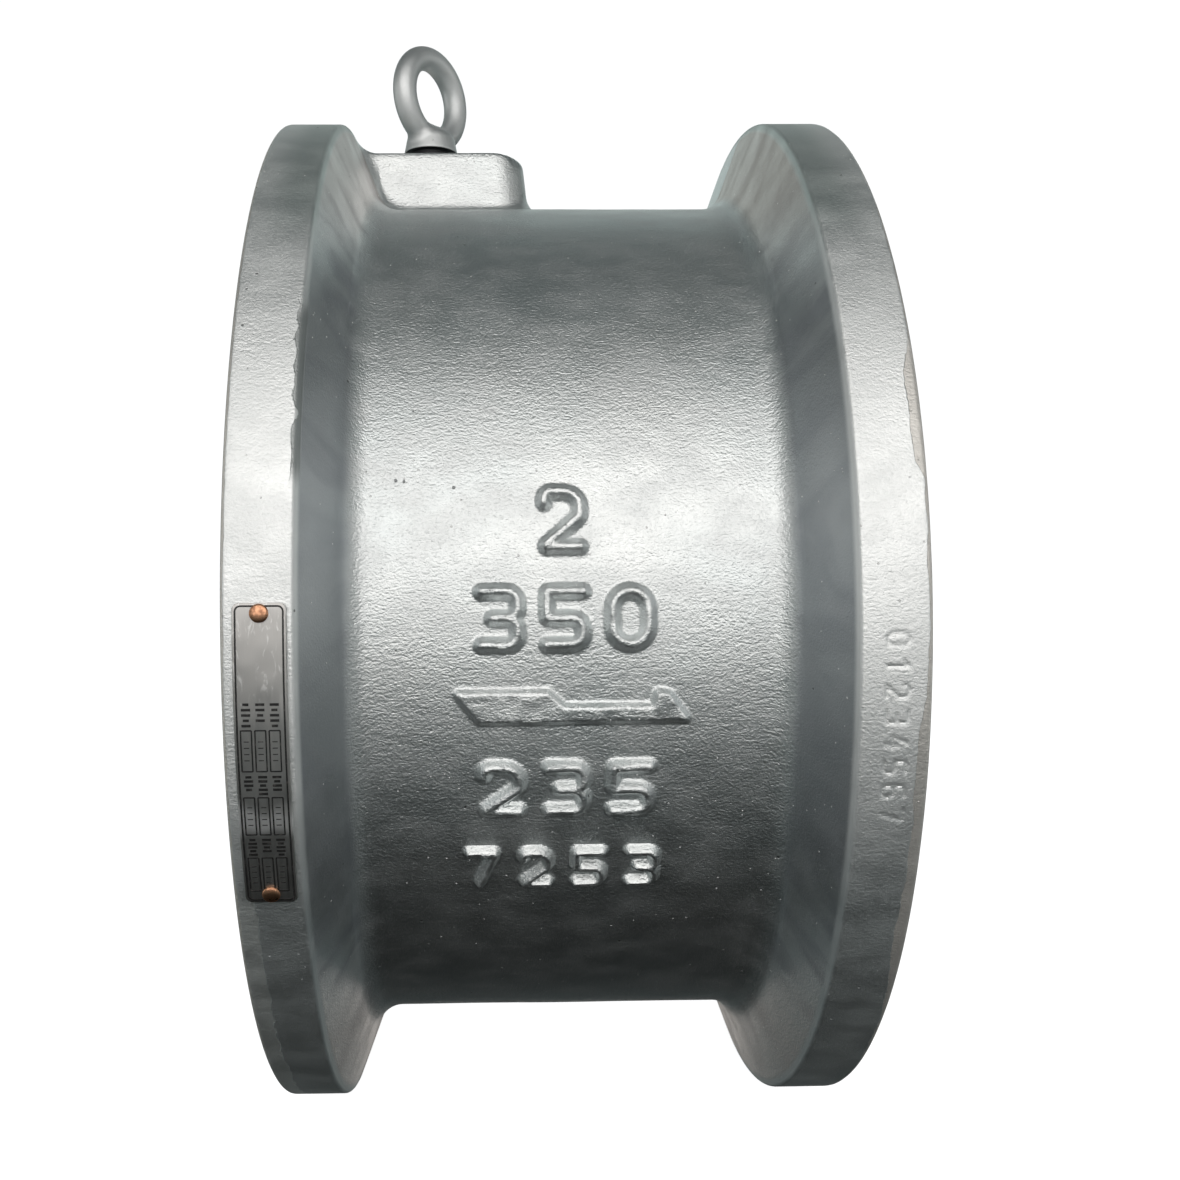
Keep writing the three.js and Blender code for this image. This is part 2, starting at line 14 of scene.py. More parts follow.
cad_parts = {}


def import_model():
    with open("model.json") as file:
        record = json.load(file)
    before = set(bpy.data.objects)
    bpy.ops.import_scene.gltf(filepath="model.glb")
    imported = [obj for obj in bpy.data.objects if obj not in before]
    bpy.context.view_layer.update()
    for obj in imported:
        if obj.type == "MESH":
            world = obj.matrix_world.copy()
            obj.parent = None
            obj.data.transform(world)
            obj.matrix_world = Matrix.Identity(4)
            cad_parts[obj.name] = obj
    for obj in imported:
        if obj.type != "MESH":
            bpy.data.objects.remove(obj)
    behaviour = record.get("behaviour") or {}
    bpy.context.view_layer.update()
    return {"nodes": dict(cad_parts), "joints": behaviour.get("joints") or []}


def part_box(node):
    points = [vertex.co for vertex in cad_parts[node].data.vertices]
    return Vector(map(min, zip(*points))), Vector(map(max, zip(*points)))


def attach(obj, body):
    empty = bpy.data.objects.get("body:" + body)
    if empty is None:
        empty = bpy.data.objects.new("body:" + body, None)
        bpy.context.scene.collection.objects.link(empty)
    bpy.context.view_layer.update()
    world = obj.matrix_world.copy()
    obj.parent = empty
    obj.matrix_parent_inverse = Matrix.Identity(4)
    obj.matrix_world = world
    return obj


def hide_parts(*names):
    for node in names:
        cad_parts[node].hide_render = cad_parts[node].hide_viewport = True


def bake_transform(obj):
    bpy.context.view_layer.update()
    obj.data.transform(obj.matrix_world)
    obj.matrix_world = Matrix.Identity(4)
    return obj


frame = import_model()

# ---------- Dimensions, in millimetres ----------
MM = 0.001
BODY, FRONT, REAR = "valve_body", "front_half", "rear_half"


def cad_range(node, axis):
    """The lowest and highest place of a CAD node along an axis."""
    low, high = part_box(node)
    return low[axis] / MM, high[axis] / MM


FACE_X = cad_range("body", 0)[1]
RIM_RADIUS = cad_range("body", 1)[1]
RIM_BACK_X = FACE_X - 17
RIM_DRAFT = math.radians(20.5)
BARREL_RADIUS = 134
BARREL_FILLET = 9
PORT_RADIUS = 95
CAVITY_RADIUS = 110
WALL_TOP = 122
FIT_GAP = 0.3

HINGE_X = frame["joints"][0]["pos_m"][0] / MM
STOP_X = sum(cad_range("stop_pin", 0)) / 2
STOP_FROM_HINGE = STOP_X - HINGE_X
OPEN_ANGLE = math.radians(80)
PIN_RADIUS = cad_range("hinge_pin", 1)[1]
PIN_LOW, PIN_HIGH = cad_range("hinge_pin", 2)
PLUG_RADIUS = cad_range("hinge_pin_plug", 1)[1]
PLUG_LOW, PLUG_HIGH = cad_range("hinge_pin_plug", 2)
THREAD_PITCH = 1.25
HEXAGON_RADIUS = 5.8
BOSS_RADIUS = 15
BOSS_HEIGHT = 104

SEAT_LOW, SEAT_HIGH = cad_range("seat_facing", 0)
SEAT_RADIUS = cad_range("seat_facing", 1)[1]
SHOULDER_X = SEAT_LOW - FIT_GAP
BRIDGE_HALF = 12
BRIDGE_NOSE_X = -79
BRIDGE_NOSE_LENGTH = 12
BRIDGE_FLARE = 8

PLATE_FRONT_X = cad_range("front_plate", 0)[0]
PLATE_RADIUS = cad_range("front_plate", 2)[1]
PLATE_BACK_X = PLATE_FRONT_X + 16
PLATE_EDGE = 2
LUG_RADIUS = 14.5
OUTER_LUG = (86, 100)
INNER_LUG = (68, 82)
STOP_BOSS_Z = 30
STOP_BOSS_HALF = 7
STOP_BOSS_CORNER = 2
STOP_BOSS_Y = -STOP_FROM_HINGE * math.sin(OPEN_ANGLE)

SPRING_RADIUS = 11.3
SPRING_WIRE = 2.25
SPRING_TURNS = 7
SPRING_LOW, SPRING_HIGH = 8, 61
ACTING_LEG = 46
REACTION_LEG = 42

PAD_TOP = 154
PAD_HALF = 19
PAD_END_X = -8
PAD_CORNER = 11
EYEBOLT_X = sum(cad_range("eyebolt", 0)) / 2
EYE_Z = 179.3
EYE_RADIUS = 14.15
EYE_BAR = 4.1
EYE_TURN = math.radians(53.6)
NECK_RADIUS = 7.2
COLLAR_RADIUS = 9.3
COLLAR_Z = 159.3
CONE_TOP = 168.6
CONE_TILT = math.radians(11)

NAMEPLATE_X = cad_range("nameplate", 0)
NAMEPLATE_ANGLES = (-26.1, 0.3)
NAMEPLATE_RADIUS = RIM_RADIUS + FIT_GAP
NAMEPLATE_TOP = NAMEPLATE_RADIUS + 0.9
RIVET_INSET = 0.85
# In degrees: where each row's ticks begin, and its box's top and foot.
NAMEPLATE_ROWS = [(-7.8, -10.2, -13.7), (-14.0, -16.0, -19.4), (-19.7, -21.6, -24.9)]
RIVET_X = sum(NAMEPLATE_X) / 2

MARK_HEIGHT = 2.3
MARK_STROKE = 3
# Plain generic numerals. Angles are in degrees above the front centre line.
MARK_ROWS = [
    {"text": "2", "angle": 9.1, "x": -2.2, "width": 12, "height": 17, "pitch": 16.4, "slope": 2.5},
    {"text": "350", "angle": -1.5, "x": -1.7, "width": 12, "height": 16.3, "pitch": 16.4, "slope": 2.5},
    {"text": "235", "angle": -20.6, "x": -1.3, "width": 12, "height": 15.2, "pitch": 16.5, "slope": 2.4},
    {"text": "7253", "angle": -31, "x": -2, "width": 9.7, "height": 13.3, "pitch": 14, "slope": 2.0},
]
# Small numerals pressed into the outlet rim, that read downward.
STAMP = {"text": "01234567", "x": 0, "angle": 0, "width": 3.6, "height": 6, "pitch": 6.1}
STAMP_X = 74.2
STAMP_ANGLE = -10.8
STAMP_DEPTH = 0.25
STAMP_STROKE = 0.8
# The flow arrow's (x, up) outline, with a broad tail and one barb.
ARROW_ANGLE = -11.1
ARROW_HEIGHT = 1.7
ARROW_OUTLINE = [
    (-29.5, 3.7, 0.5),
    (-6, 3.7, 1.5),
    (-2, 0, 1.5),
    (20.5, 0, 0.8),
    (21.5, 3.9, 1),
    (24.5, 3.3, 0.8),
    (29.5, -3.6, 0.4),
    (-23.5, -3.9, 1),
]

CAMERA_PLACE = (-19.052, -458.373, 0.932)
# How far it turns right and up, and how far it is rolled, in degrees.
CAMERA_TURNS = (1.0707, 1.2944, -0.4616)
CAMERA_LENS = 39.553
CAMERA_SHIFT = (0.0597, -0.0161)
# The studio walls' brightness at heights from -1, straight down, to 1.
WALL_BRIGHTNESS = [(-0.96, 0.002), (-0.75, 0.015), (-0.42, 0.135), (-0.2, 0.13), (0.1, 0.09), (1, 0.09)]


# ---------- Noise, distance fields and outlines ----------
def value_noise(points, cell, seed):
    """Smooth noise from -1 to 1, from one random value at each corner of a grid of cells."""
    scaled = points / np.asarray(cell, float)
    base = np.floor(scaled).astype(np.int64)
    share = scaled - base
    share = share * share * (3 - 2 * share)
    total = np.zeros(len(points))
    for corner in range(8):
        step = np.array([corner & 1, corner >> 1 & 1, corner >> 2 & 1])
        key = (base + step) @ np.array([73856093, 19349663, 83492791]) + seed * 2654435761
        key = (key ^ (key >> 13)) * 1274126177
        key ^= key >> 16
        value = (key & 0xFFFFF) / 0x7FFFF - 1
        total += value * np.prod(np.where(step, share, 1 - share), axis=1)
    return total


def smooth_step(value, low, high):
    share = np.clip((value - low) / (high - low), 0, 1)
    return share * share * (3 - 2 * share)


def round_union(a, b, radius):
    """Two distance fields joined with a fillet."""
    corner = np.hypot(np.maximum(radius - a, 0), np.maximum(radius - b, 0))
    return np.maximum(radius, np.minimum(a, b)) - corner


def round_common(a, b, radius):
    """What two distance fields share, with a rounded edge."""
    corner = np.hypot(np.maximum(radius + a, 0), np.maximum(radius + b, 0))
    return np.minimum(-radius, np.maximum(a, b)) + corner


def walk(start, end, spacing):
    """Points from start up to, but not with, end, as far apart as spacing says at each point."""
    length = np.linalg.norm(end - start)
    at = 0.0
    stops = []
    while at < length - 1e-6:
        stops.append(at)
        at += spacing(start + (end - start) * at / length)
    return [start + (end - start) * stop / at for stop in stops]


def corner_arc(before, corner, after, radius, step):
    """The points of the arc that rounds a corner between two straight lines."""
    back = (before - corner) / np.linalg.norm(before - corner)
    ahead = (after - corner) / np.linalg.norm(after - corner)
    half = math.acos(np.clip(back @ ahead, -1, 1)) / 2
    centre = corner + (back + ahead) / np.linalg.norm(back + ahead) * radius / math.sin(half)
    start = corner + back * radius / math.tan(half) - centre
    finish = corner + ahead * radius / math.tan(half) - centre
    turn = math.atan2(start[0] * finish[1] - start[1] * finish[0], start @ finish)
    angles = np.linspace(0, turn, max(4, math.ceil(abs(turn) * radius / step)) + 1)
    side = np.array([-start[1], start[0]])
    return [centre + start * math.cos(angle) + side * math.sin(angle) for angle in angles]


def rounded_outline(corners, spacing=None, arc_step=0.9):
    """A closed outline through (x, y, rounding) corners, and the side that each point is on.

    Side i leaves corner i, and the arc at corner i counts with it.
    """
    spacing = spacing or (lambda side, point: 1000)
    places = [np.array(corner[:2], float) for corner in corners]
    count = len(corners)
    arcs = [
        corner_arc(places[i - 1], places[i], places[(i + 1) % count], corners[i][2], arc_step)
        for i in range(count)
    ]
    points, sides = [], []
    for i, arc in enumerate(arcs):
        run = arc[:-1] + walk(arc[-1], arcs[(i + 1) % count][0], lambda point: spacing(i, point))
        points += run
        sides += [i] * len(run)
    return np.array(points), np.array(sides)


# ---------- Closed shapes: points and groups of faces ----------
def signed_volume(points, faces):
    fans = [np.cross(points[faces[:, i]], points[faces[:, i + 1]]) for i in range(1, faces.shape[1] - 1)]
    return (points[faces[:, 0]] * sum(fans)).sum() / 6


def shape(points, *groups):
    """A closed shape, with its faces turned to look outward."""
    volume = sum(signed_volume(points, group) for group in groups)
    return points, [group if volume > 0 else group[:, ::-1] for group in groups]


def joined(*shapes):
    points = np.vstack([part[0] for part in shapes])
    starts = np.cumsum([0] + [len(part[0]) for part in shapes])
    groups = [group + start for (_, faces), start in zip(shapes, starts) for group in faces]
    return points, groups


def moved(part, offset):
    return part[0] + offset, part[1]


def turned_over(part):
    """Half a turn about the X axis."""
    return part[0] * [1, -1, -1], part[1]


def grid_faces(rows, columns, close_rows):
    row = np.arange(rows if close_rows else rows - 1)[:, None]
    column = np.arange(columns)[None, :]
    after = (row + 1) % rows
    beside = (column + 1) % columns
    corners = [(row, column), (row, beside), (after, beside), (after, column)]
    return np.stack([along * columns + across for along, across in corners], -1).reshape(-1, 4)


def through_rings(rings, close_rows=False):
    """A shape through rings of points. Its ends are closed, or meet when close_rows is true."""
    rings = np.asarray(rings, float)
    rows, columns = rings.shape[:2]
    points = rings.reshape(-1, 3)
    if close_rows:
        return shape(points, grid_faces(rows, columns, True))
    column = np.arange(columns)
    beside = (column + 1) % columns
    last = (rows - 1) * columns
    first_middle, last_middle = np.full(columns, len(points)), np.full(columns, len(points) + 1)
    first_cap = np.stack([first_middle, beside, column], -1)
    last_cap = np.stack([last_middle, last + column, last + beside], -1)
    points = np.vstack([points, rings[0].mean(0), rings[-1].mean(0)])
    return shape(points, grid_faces(rows, columns, False), np.vstack([first_cap, last_cap]))


def turned(outline, x=0, sides=64):
    """A shape turned about a vertical line at x, from (radius, z) points.

    The points go from axis to axis, or round a closed ring that doesn't touch the axis.
    """
    outline = np.array(outline, float)
    solid = outline[0, 0] == 0
    if solid:
        outline = outline[1:-1]
    angles = np.linspace(0, 2 * math.pi, sides, endpoint=False)
    circle = np.stack([np.cos(angles), np.sin(angles), np.zeros(sides)], -1)
    rings = outline[:, :1, None] * circle + outline[:, None, 1:] * [0, 0, 1]
    return through_rings(rings + [x, 0, 0], close_rows=not solid)


def prism(outline, low, high):
    """An (x, y) outline, wide open all round its middle, raised from low to high."""
    rings = [np.column_stack([outline, np.full(len(outline), z)]) for z in (low, high)]
    return through_rings(rings)


def tube(path, radius, sides=16):
    """A round bar along a path of points, with slightly domed ends."""
    ahead = np.gradient(path, axis=0)
    ahead /= np.linalg.norm(ahead, axis=1)[:, None]
    across = np.cross(ahead, [0, 0, 1])
    across /= np.linalg.norm(across, axis=1)[:, None]
    over = np.cross(across, ahead)
    angles = np.linspace(0, 2 * math.pi, sides, endpoint=False)[:, None]
    rings = [
        centre + radius * (side * np.cos(angles) + up * np.sin(angles))
        for centre, side, up in zip(path, across, over)
    ]
    dome = [(0.55, 0.30), (0.85, 0.16)]
    first = [path[0] + (rings[0] - path[0]) * wide - ahead[0] * radius * out for wide, out in dome]
    last = [path[-1] + (rings[-1] - path[-1]) * wide + ahead[-1] * radius * out for wide, out in dome[::-1]]
    return through_rings(first + rings + last)


def ring_tube(path, radius, sides=24):
    """A round bar bent into a ring in an upright plane. The path ends where it starts."""
    path = path[:-1]
    middle = path.mean(0)
    flat = np.cross(path[0] - middle, path[len(path) // 4] - middle)
    flat /= np.linalg.norm(flat)
    angles = np.linspace(0, 2 * math.pi, sides, endpoint=False)[:, None]
    outward = (path - middle) / np.linalg.norm(path - middle, axis=1)[:, None]
    rings = [
        centre + radius * (out * np.cos(angles) + flat * np.sin(angles))
        for centre, out in zip(path, outward)
    ]
    return through_rings(rings, close_rows=True)


def on_front(part, angle, radius, x):
    """Moves a shape so that its u, v and w run along X, up round the front, and outward."""
    turn = math.radians(angle)
    axes = [[1, 0, 0], [0, math.sin(turn), math.cos(turn)], [0, -math.cos(turn), math.sin(turn)]]
    return part[0] @ np.array(axes) + [x, -radius * math.cos(turn), radius * math.sin(turn)], part[1]


# ---------- Objects ----------
def new_object(name, part, smooth_angle=35):
    """A Blender object of a shape."""
    points, groups = part
    mesh = bpy.data.meshes.new(name)
    mesh.vertices.add(len(points))
    mesh.vertices.foreach_set("co", (points * MM).astype(np.float32).ravel())
    sizes = np.concatenate([np.full(len(group), group.shape[1]) for group in groups])
    corners = np.concatenate([group.ravel() for group in groups]).astype(np.int32)
    mesh.loops.add(len(corners))
    mesh.loops.foreach_set("vertex_index", corners)
    mesh.polygons.add(len(sizes))
    mesh.polygons.foreach_set("loop_start", np.concatenate([[0], np.cumsum(sizes)[:-1]]).astype(np.int32))
    mesh.update(calc_edges=True)
    shade(mesh, smooth_angle)
    piece = bpy.data.objects.new(name, mesh)
    bpy.context.scene.collection.objects.link(piece)
    return piece


def shade(mesh, smooth_angle=35):
    mesh.shade_smooth()
    mesh.set_sharp_from_angle(angle=math.radians(smooth_angle))


def apply_modifiers(piece):
    graph = bpy.context.evaluated_depsgraph_get()
    mesh = bpy.data.meshes.new_from_object(piece.evaluated_get(graph))
    piece.modifiers.clear()
    piece.data = mesh


def combine(piece, part, operation, smooth_angle=35):
    """Joins a shape to a piece, or cuts it out."""
    tool = new_object("tool", part)
    modifier = piece.modifiers.new("combine", "BOOLEAN")
    modifier.solver = "MANIFOLD"
    modifier.operation = operation
    modifier.object = tool
    apply_modifiers(piece)
    shade(piece.data, smooth_angle)
    bpy.data.objects.remove(tool)


def read_points(mesh):
    points = np.empty(len(mesh.vertices) * 3, np.float32)
    mesh.vertices.foreach_get("co", points)
    return points.reshape(-1, 3).astype(float) / MM


def copy_of_node(name, node):
    piece = bpy.data.objects.new(name, frame["nodes"][node].data.copy())
    bpy.context.scene.collection.objects.link(piece)
    return piece


def settle_on_field(piece, field, voxel):
    """Gives a rough piece a fine surface, where the field is zero."""
    remesh = piece.modifiers.new("remesh", "REMESH")
    remesh.mode = "VOXEL"
    remesh.voxel_size = voxel * MM
    apply_modifiers(piece)
    points = read_points(piece.data)
    reach = 0.05
    for _ in range(5):
        rise = [field(points + reach * axis) - field(points - reach * axis) for axis in np.eye(3)]
        slope = np.stack(rise, -1) / (2 * reach)
        steepness = np.maximum((slope ** 2).sum(1), 0.25)
        points -= slope * np.clip(field(points) / steepness, -1.5, 1.5)[:, None]
    piece.data.vertices.foreach_set("co", (points * MM).astype(np.float32).ravel())
    piece.data.update()
    shade(piece.data, 60)


def place_piece(piece, body, node, material):
    """The piece moves with a body, stands for a CAD node and has a finish."""
    piece.data.materials.clear()
    piece.data.materials.append(material)
    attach(piece, body)
    if node:
        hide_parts(node)


# ---------- Body casting ----------
def body_outline():
    """The (x, radius) outline that the body is turned from, and the side that each point is on."""
    foot_x = RIM_BACK_X - (RIM_RADIUS - BARREL_RADIUS) * math.tan(RIM_DRAFT)
    corners = [
        (FACE_X, CAVITY_RADIUS, 1),
        (FACE_X, RIM_RADIUS, 1.3),
        (RIM_BACK_X, RIM_RADIUS, 1.3),
        (foot_x, BARREL_RADIUS, BARREL_FILLET),
        (-foot_x, BARREL_RADIUS, BARREL_FILLET),
        (-RIM_BACK_X, RIM_RADIUS, 1.3),
        (-FACE_X, RIM_RADIUS, 1.3),
        (-FACE_X, PORT_RADIUS, 1.3),
        (SHOULDER_X, PORT_RADIUS, 0.5),
        (SHOULDER_X, CAVITY_RADIUS, 3),
    ]
    return rounded_outline(corners, body_spacing)


OUTLET_FACE, OUTLET_RIM, OUTLET_INNER, BARREL, INLET_INNER, INLET_RIM, INLET_FACE = range(7)
SERRATED = (112, 135)
SERRATION_PITCH = 1.2
MARKED_X = 32
PAD_END_ROWS = (PAD_END_X - 2.5, PAD_END_X + 2.5)


def body_spacing(side, point):
    """How far apart the rows of the casting's mesh are."""
    x, radius = point
    if side in (OUTLET_FACE, INLET_FACE):
        return SERRATION_PITCH / 3 if SERRATED[0] < radius < SERRATED[1] else 3
    if side == BARREL:
        if PAD_END_ROWS[0] < x < PAD_END_ROWS[1]:
            return 0.13
        return 0.5 if abs(x) < MARKED_X else 1
    if side == OUTLET_RIM:
        return 0.35
    return 1 if side < INLET_FACE else 3


def body_angles():
    """The angles of the columns, in degrees from the front: close together at the marks and the pad."""
    stretches = [
        (-38, 16, 0.2),
        (16, 77, 1),
        (77, 81, 0.25),
        (81, 83.5, 0.12),
        (83.5, 96.5, 0.5),
        (96.5, 99, 0.12),
        (99, 103, 0.25),
        (103, 322, 1),
    ]
    return np.concatenate([np.arange(low, high - step / 2, step) for low, high, step in stretches])


def pad_field(x, y, z):
    """Distance to the pad under the eyebolt, which runs back into the inlet rim."""
    drop = PAD_TOP - z
    beyond_x = x - (PAD_END_X - PAD_CORNER) - drop * math.tan(math.radians(6)) + 0.6
    beyond_y = np.abs(y) - (PAD_HALF - PAD_CORNER) - drop * math.tan(math.radians(3))
    outside = np.hypot(np.maximum(beyond_x, 0), np.maximum(beyond_y, 0))
    walls = outside + np.minimum(np.maximum(beyond_x, beyond_y), 0) - PAD_CORNER
    edge = 1.2 + 1.9 * smooth_step(x, PAD_END_X - 10, PAD_END_X - 2)
    return round_common(walls, z - PAD_TOP, edge)


def raise_pad(outline, sides, x, radius, angle):
    """Lifts the barrel and the inlet rim's inner face to the pad, with fillets all round it."""
    rows = np.isin(sides, (BARREL, INLET_INNER)) & (outline[:, 0] < PAD_END_X + 12)
    columns = np.abs(np.degrees(angle) - 90) < 13
    spool_x, spool_radius = outline[rows][::-1].T
    slope = np.gradient(spool_radius, spool_x)
    part = np.ix_(rows, columns)
    px = x[part]
    turn = np.broadcast_to(angle[columns], px.shape)
    steep = 1 / np.sqrt(1 + np.interp(px, spool_x, slope) ** 2)
    base = np.interp(px, spool_x, spool_radius)
    fillet = 3.5 + 1.5 * smooth_step(-px, 46, 58) + 4 * smooth_step(px, PAD_END_X - 8, PAD_END_X)
    low, high = base - 1, np.full(px.shape, RIM_RADIUS + 1.0)
    for _ in range(22):
        middle = (low + high) / 2
        pad = pad_field(px, -middle * np.cos(turn), middle * np.sin(turn))
        inside = round_union((middle - base) * steep, pad, fillet) < 0
        low, high = np.where(inside, middle, low), np.where(inside, high, middle)
    radius[part] = np.maximum(radius[part], np.minimum(low, RIM_RADIUS - 0.6))


# Each numeral's strokes run through (u, v, rounding) points, in halves of its width and height.
NUMERALS = {
    "0": [[(0, 1, 0), (1, 1, 1), (1, -1, 1), (-1, -1, 1), (-1, 1, 1), (0, 1, 0)]],
    "1": [[(-0.6, 0.6, 0), (0.1, 1, 0), (0.1, -1, 0)]],
    "2": [[(-1, 0.6, 0), (-1, 1, 0.4), (1, 1, 0.9), (1, 0.1, 0.5), (-1, -1, 0.05), (1, -1, 0)]],
    "3": [
        [(-1, 1, 0), (1, 1, 0.6), (1, 0, 0.6), (-0.4, 0, 0)],
        [(-0.4, 0, 0), (1, 0, 0.6), (1, -1, 0.6), (-1, -1, 0)],
    ],
    "4": [[(0.1, 1, 0), (-1, -0.35, 0.1), (1, -0.35, 0)], [(0.45, 0.3, 0), (0.45, -1, 0)]],
    "5": [[(1, 1, 0), (-1, 1, 0.1), (-1, 0, 0.1), (1, 0, 0.6), (1, -1, 0.6), (-1, -1, 0)]],
    "6": [[(1, 1, 0), (-1, 1, 0.7), (-1, -1, 0.7), (1, -1, 0.6), (1, 0, 0.6), (-1, 0, 0)]],
    "7": [[(-1, 1, 0), (1, 1, 0.1), (-0.2, -1, 0)]],
}


def rounded_line(points, half_width, half_height):
    """A stroke with its inner corners rounded."""
    places = [np.array([u * half_width, v * half_height], float) for u, v, _ in points]
    line = [places[0]]
    for i in range(1, len(places) - 1):
        rounding = points[i][2] * half_width
        line += corner_arc(*places[i - 1 : i + 2], rounding, 0.8) if rounding else [places[i]]
    return np.array(line + [places[-1]])


def row_strokes(row, stroke=MARK_STROKE):
    """A row's strokes, as points of x and of distance up round the front."""
    half_width = (row["width"] - stroke) / 2
    half_height = (row["height"] - stroke) / 2
    strokes = []
    for i, digit in enumerate(row["text"]):
        x = row["x"] + (i - (len(row["text"]) - 1) / 2) * row["pitch"]
        centre = np.array([x, math.radians(row["angle"]) * BARREL_RADIUS])
        strokes += [rounded_line(line, half_width, half_height) + centre for line in NUMERALS[digit]]
    return strokes


def distance_to_strokes(across, up, strokes):
    nearest = np.full(across.shape, 100.0)
    for line in strokes:
        for start, end in zip(line[:-1], line[1:]):
            step = end - start
            if step @ step < 1e-6:
                continue
            share = ((across - start[0]) * step[0] + (up - start[1]) * step[1]) / (step @ step)
            share = np.clip(share, 0, 1)
            gap = np.hypot(across - start[0] - share * step[0], up - start[1] - share * step[1])
            nearest = np.minimum(nearest, gap)
    return nearest


def distance_to_outline(across, up, outline):
    """Distance to a closed outline, negative inside it."""
    inside = np.zeros(across.shape, bool)
    for start, end in zip(outline, np.roll(outline, -1, 0)):
        if start[1] == end[1]:
            continue
        crossed = (start[1] > up) != (end[1] > up)
        at = start[0] + (up - start[1]) * (end[0] - start[0]) / (end[1] - start[1])
        inside ^= crossed & (across < at)
    nearest = distance_to_strokes(across, up, [np.vstack([outline, outline[:1]])])
    return np.where(inside, -nearest, nearest)


def raise_marks(sides, x, radius, angle):
    """The raised numerals and the flow arrow on the barrel, a little worn."""
    rows = (sides == BARREL) & (np.abs(x[:, 0]) < MARKED_X + 3)
    columns = np.degrees(angle) < 16
    part = np.ix_(rows, columns)
    across = x[part]
    up = np.broadcast_to(angle[columns] * BARREL_RADIUS, across.shape)
    height = np.zeros(across.shape)
    for row in MARK_ROWS:
        gap = distance_to_strokes(across, up, row_strokes(row))
        height = np.maximum(height, MARK_HEIGHT * (1 - smooth_step(gap, 0.35, row["slope"])))
    outline = rounded_outline(ARROW_OUTLINE)[0] + [0, math.radians(ARROW_ANGLE) * BARREL_RADIUS]
    gap = distance_to_outline(across, up, outline)
    height = np.maximum(height, ARROW_HEIGHT * (1 - smooth_step(gap, -0.5, 1.3)))
    spots = np.stack([across.ravel(), up.ravel(), np.zeros(across.size)], -1)
    worn = 1 + 0.13 * value_noise(spots, 6, 5) + 0.08 * value_noise(spots, 2.2, 6)
    radius[part] += height * worn.reshape(height.shape)


def press_stamp(sides, x, radius, angle):
    """The row of small numerals in the outlet rim. Their tops point along X."""
    rows = sides == OUTLET_RIM
    columns = np.abs(np.degrees(angle) - STAMP_ANGLE) < 13
    part = np.ix_(rows, columns)
    upright = x[part] - STAMP_X
    along = np.broadcast_to((math.radians(STAMP_ANGLE) - angle[columns]) * RIM_RADIUS, upright.shape)
    gap = distance_to_strokes(along, upright, row_strokes(STAMP, STAMP_STROKE))
    radius[part] -= STAMP_DEPTH * (1 - smooth_step(gap, 0.05, 0.6))


def around_body(x, radius, angle):
    return np.stack(np.broadcast_arrays(x, -radius * np.cos(angle), radius * np.sin(angle)), -1)


def outline_normals(outline):
    ahead = np.roll(outline, -1, 0) - np.roll(outline, 1, 0)
    ahead /= np.linalg.norm(ahead, axis=1)[:, None]
    return np.column_stack([ahead[:, 1], -ahead[:, 0]])


def roughen(sides, normals, x, radius, angle):
    """The unevenness that a sand mould leaves: strongest on the barrel, none on machined faces."""
    amount = np.select([sides == BARREL, (sides > 0) & (sides < INLET_FACE)], [1.0, 0.3], 0.0)
    rows = amount > 0
    turn = np.broadcast_to(angle, x.shape)[rows]
    points = around_body(x[rows], radius[rows], turn).reshape(-1, 3)
    height = 0.11 * value_noise(points, 22, 1) + 0.04 * value_noise(points, (9, 6, 6), 2)
    height += 0.022 * value_noise(points, (3.4, 2.4, 2.4), 3)
    height = height.reshape(turn.shape) * amount[rows][:, None]
    x[rows] += height * normals[rows, :1]
    radius[rows] += height * normals[rows, 1:]


def serrate(sides, x, radius):
    """Fine rings cut in the two gasket faces."""
    on_face = np.isin(sides, (OUTLET_FACE, INLET_FACE))[:, None]
    ring = on_face & (radius > SERRATED[0]) & (radius < SERRATED[1])
    share = (radius - SERRATED[0]) / SERRATION_PITCH
    depth = 0.14 * np.abs(2 * (share - np.floor(share)) - 1)
    x -= np.where(ring, np.sign(x) * depth, 0)


def spool():
    """The casting's outside and port, turned as one closed grid of rows along and columns around."""
    outline, sides = body_outline()
    angle = np.radians(body_angles())
    x = np.repeat(outline[:, :1], len(angle), 1)
    radius = np.repeat(outline[:, 1:], len(angle), 1)
    raise_pad(outline, sides, x, radius, angle)
    raise_marks(sides, x, radius, angle)
    press_stamp(sides, x, radius, angle)
    roughen(sides, outline_normals(outline), x, radius, angle)
    serrate(sides, x, radius)
    return through_rings(around_body(x, radius, angle), close_rows=True)


def bridge():
    """The bar across the port that both plates close on, flared where it meets the port's wall."""
    wall = math.sqrt(PORT_RADIUS ** 2 - BRIDGE_HALF ** 2)
    upper_end = np.concatenate([np.linspace(wall - BRIDGE_FLARE, wall, 9), [PORT_RADIUS + 4]])
    heights = np.concatenate([-upper_end[::-1], np.linspace(-80, 80, 9), upper_end])
    return through_rings([bridge_ring(z, wall) for z in heights])


def bridge_ring(z, wall):
    gap = min(max(wall - abs(z), 0), BRIDGE_FLARE)
    flare = BRIDGE_FLARE - math.sqrt(BRIDGE_FLARE ** 2 - (BRIDGE_FLARE - gap) ** 2)
    half = BRIDGE_HALF + flare
    nose_back = BRIDGE_NOSE_X + BRIDGE_NOSE_LENGTH
    turn = np.linspace(math.pi / 2, 3 * math.pi / 2, 25)
    nose_x = nose_back + (BRIDGE_NOSE_LENGTH + 0.1 * flare) * np.cos(turn)
    outline = [(SHOULDER_X, half), *zip(nose_x, half * np.sin(turn)), (SHOULDER_X, -half)]
    return np.column_stack([outline, np.full(len(outline), z)])


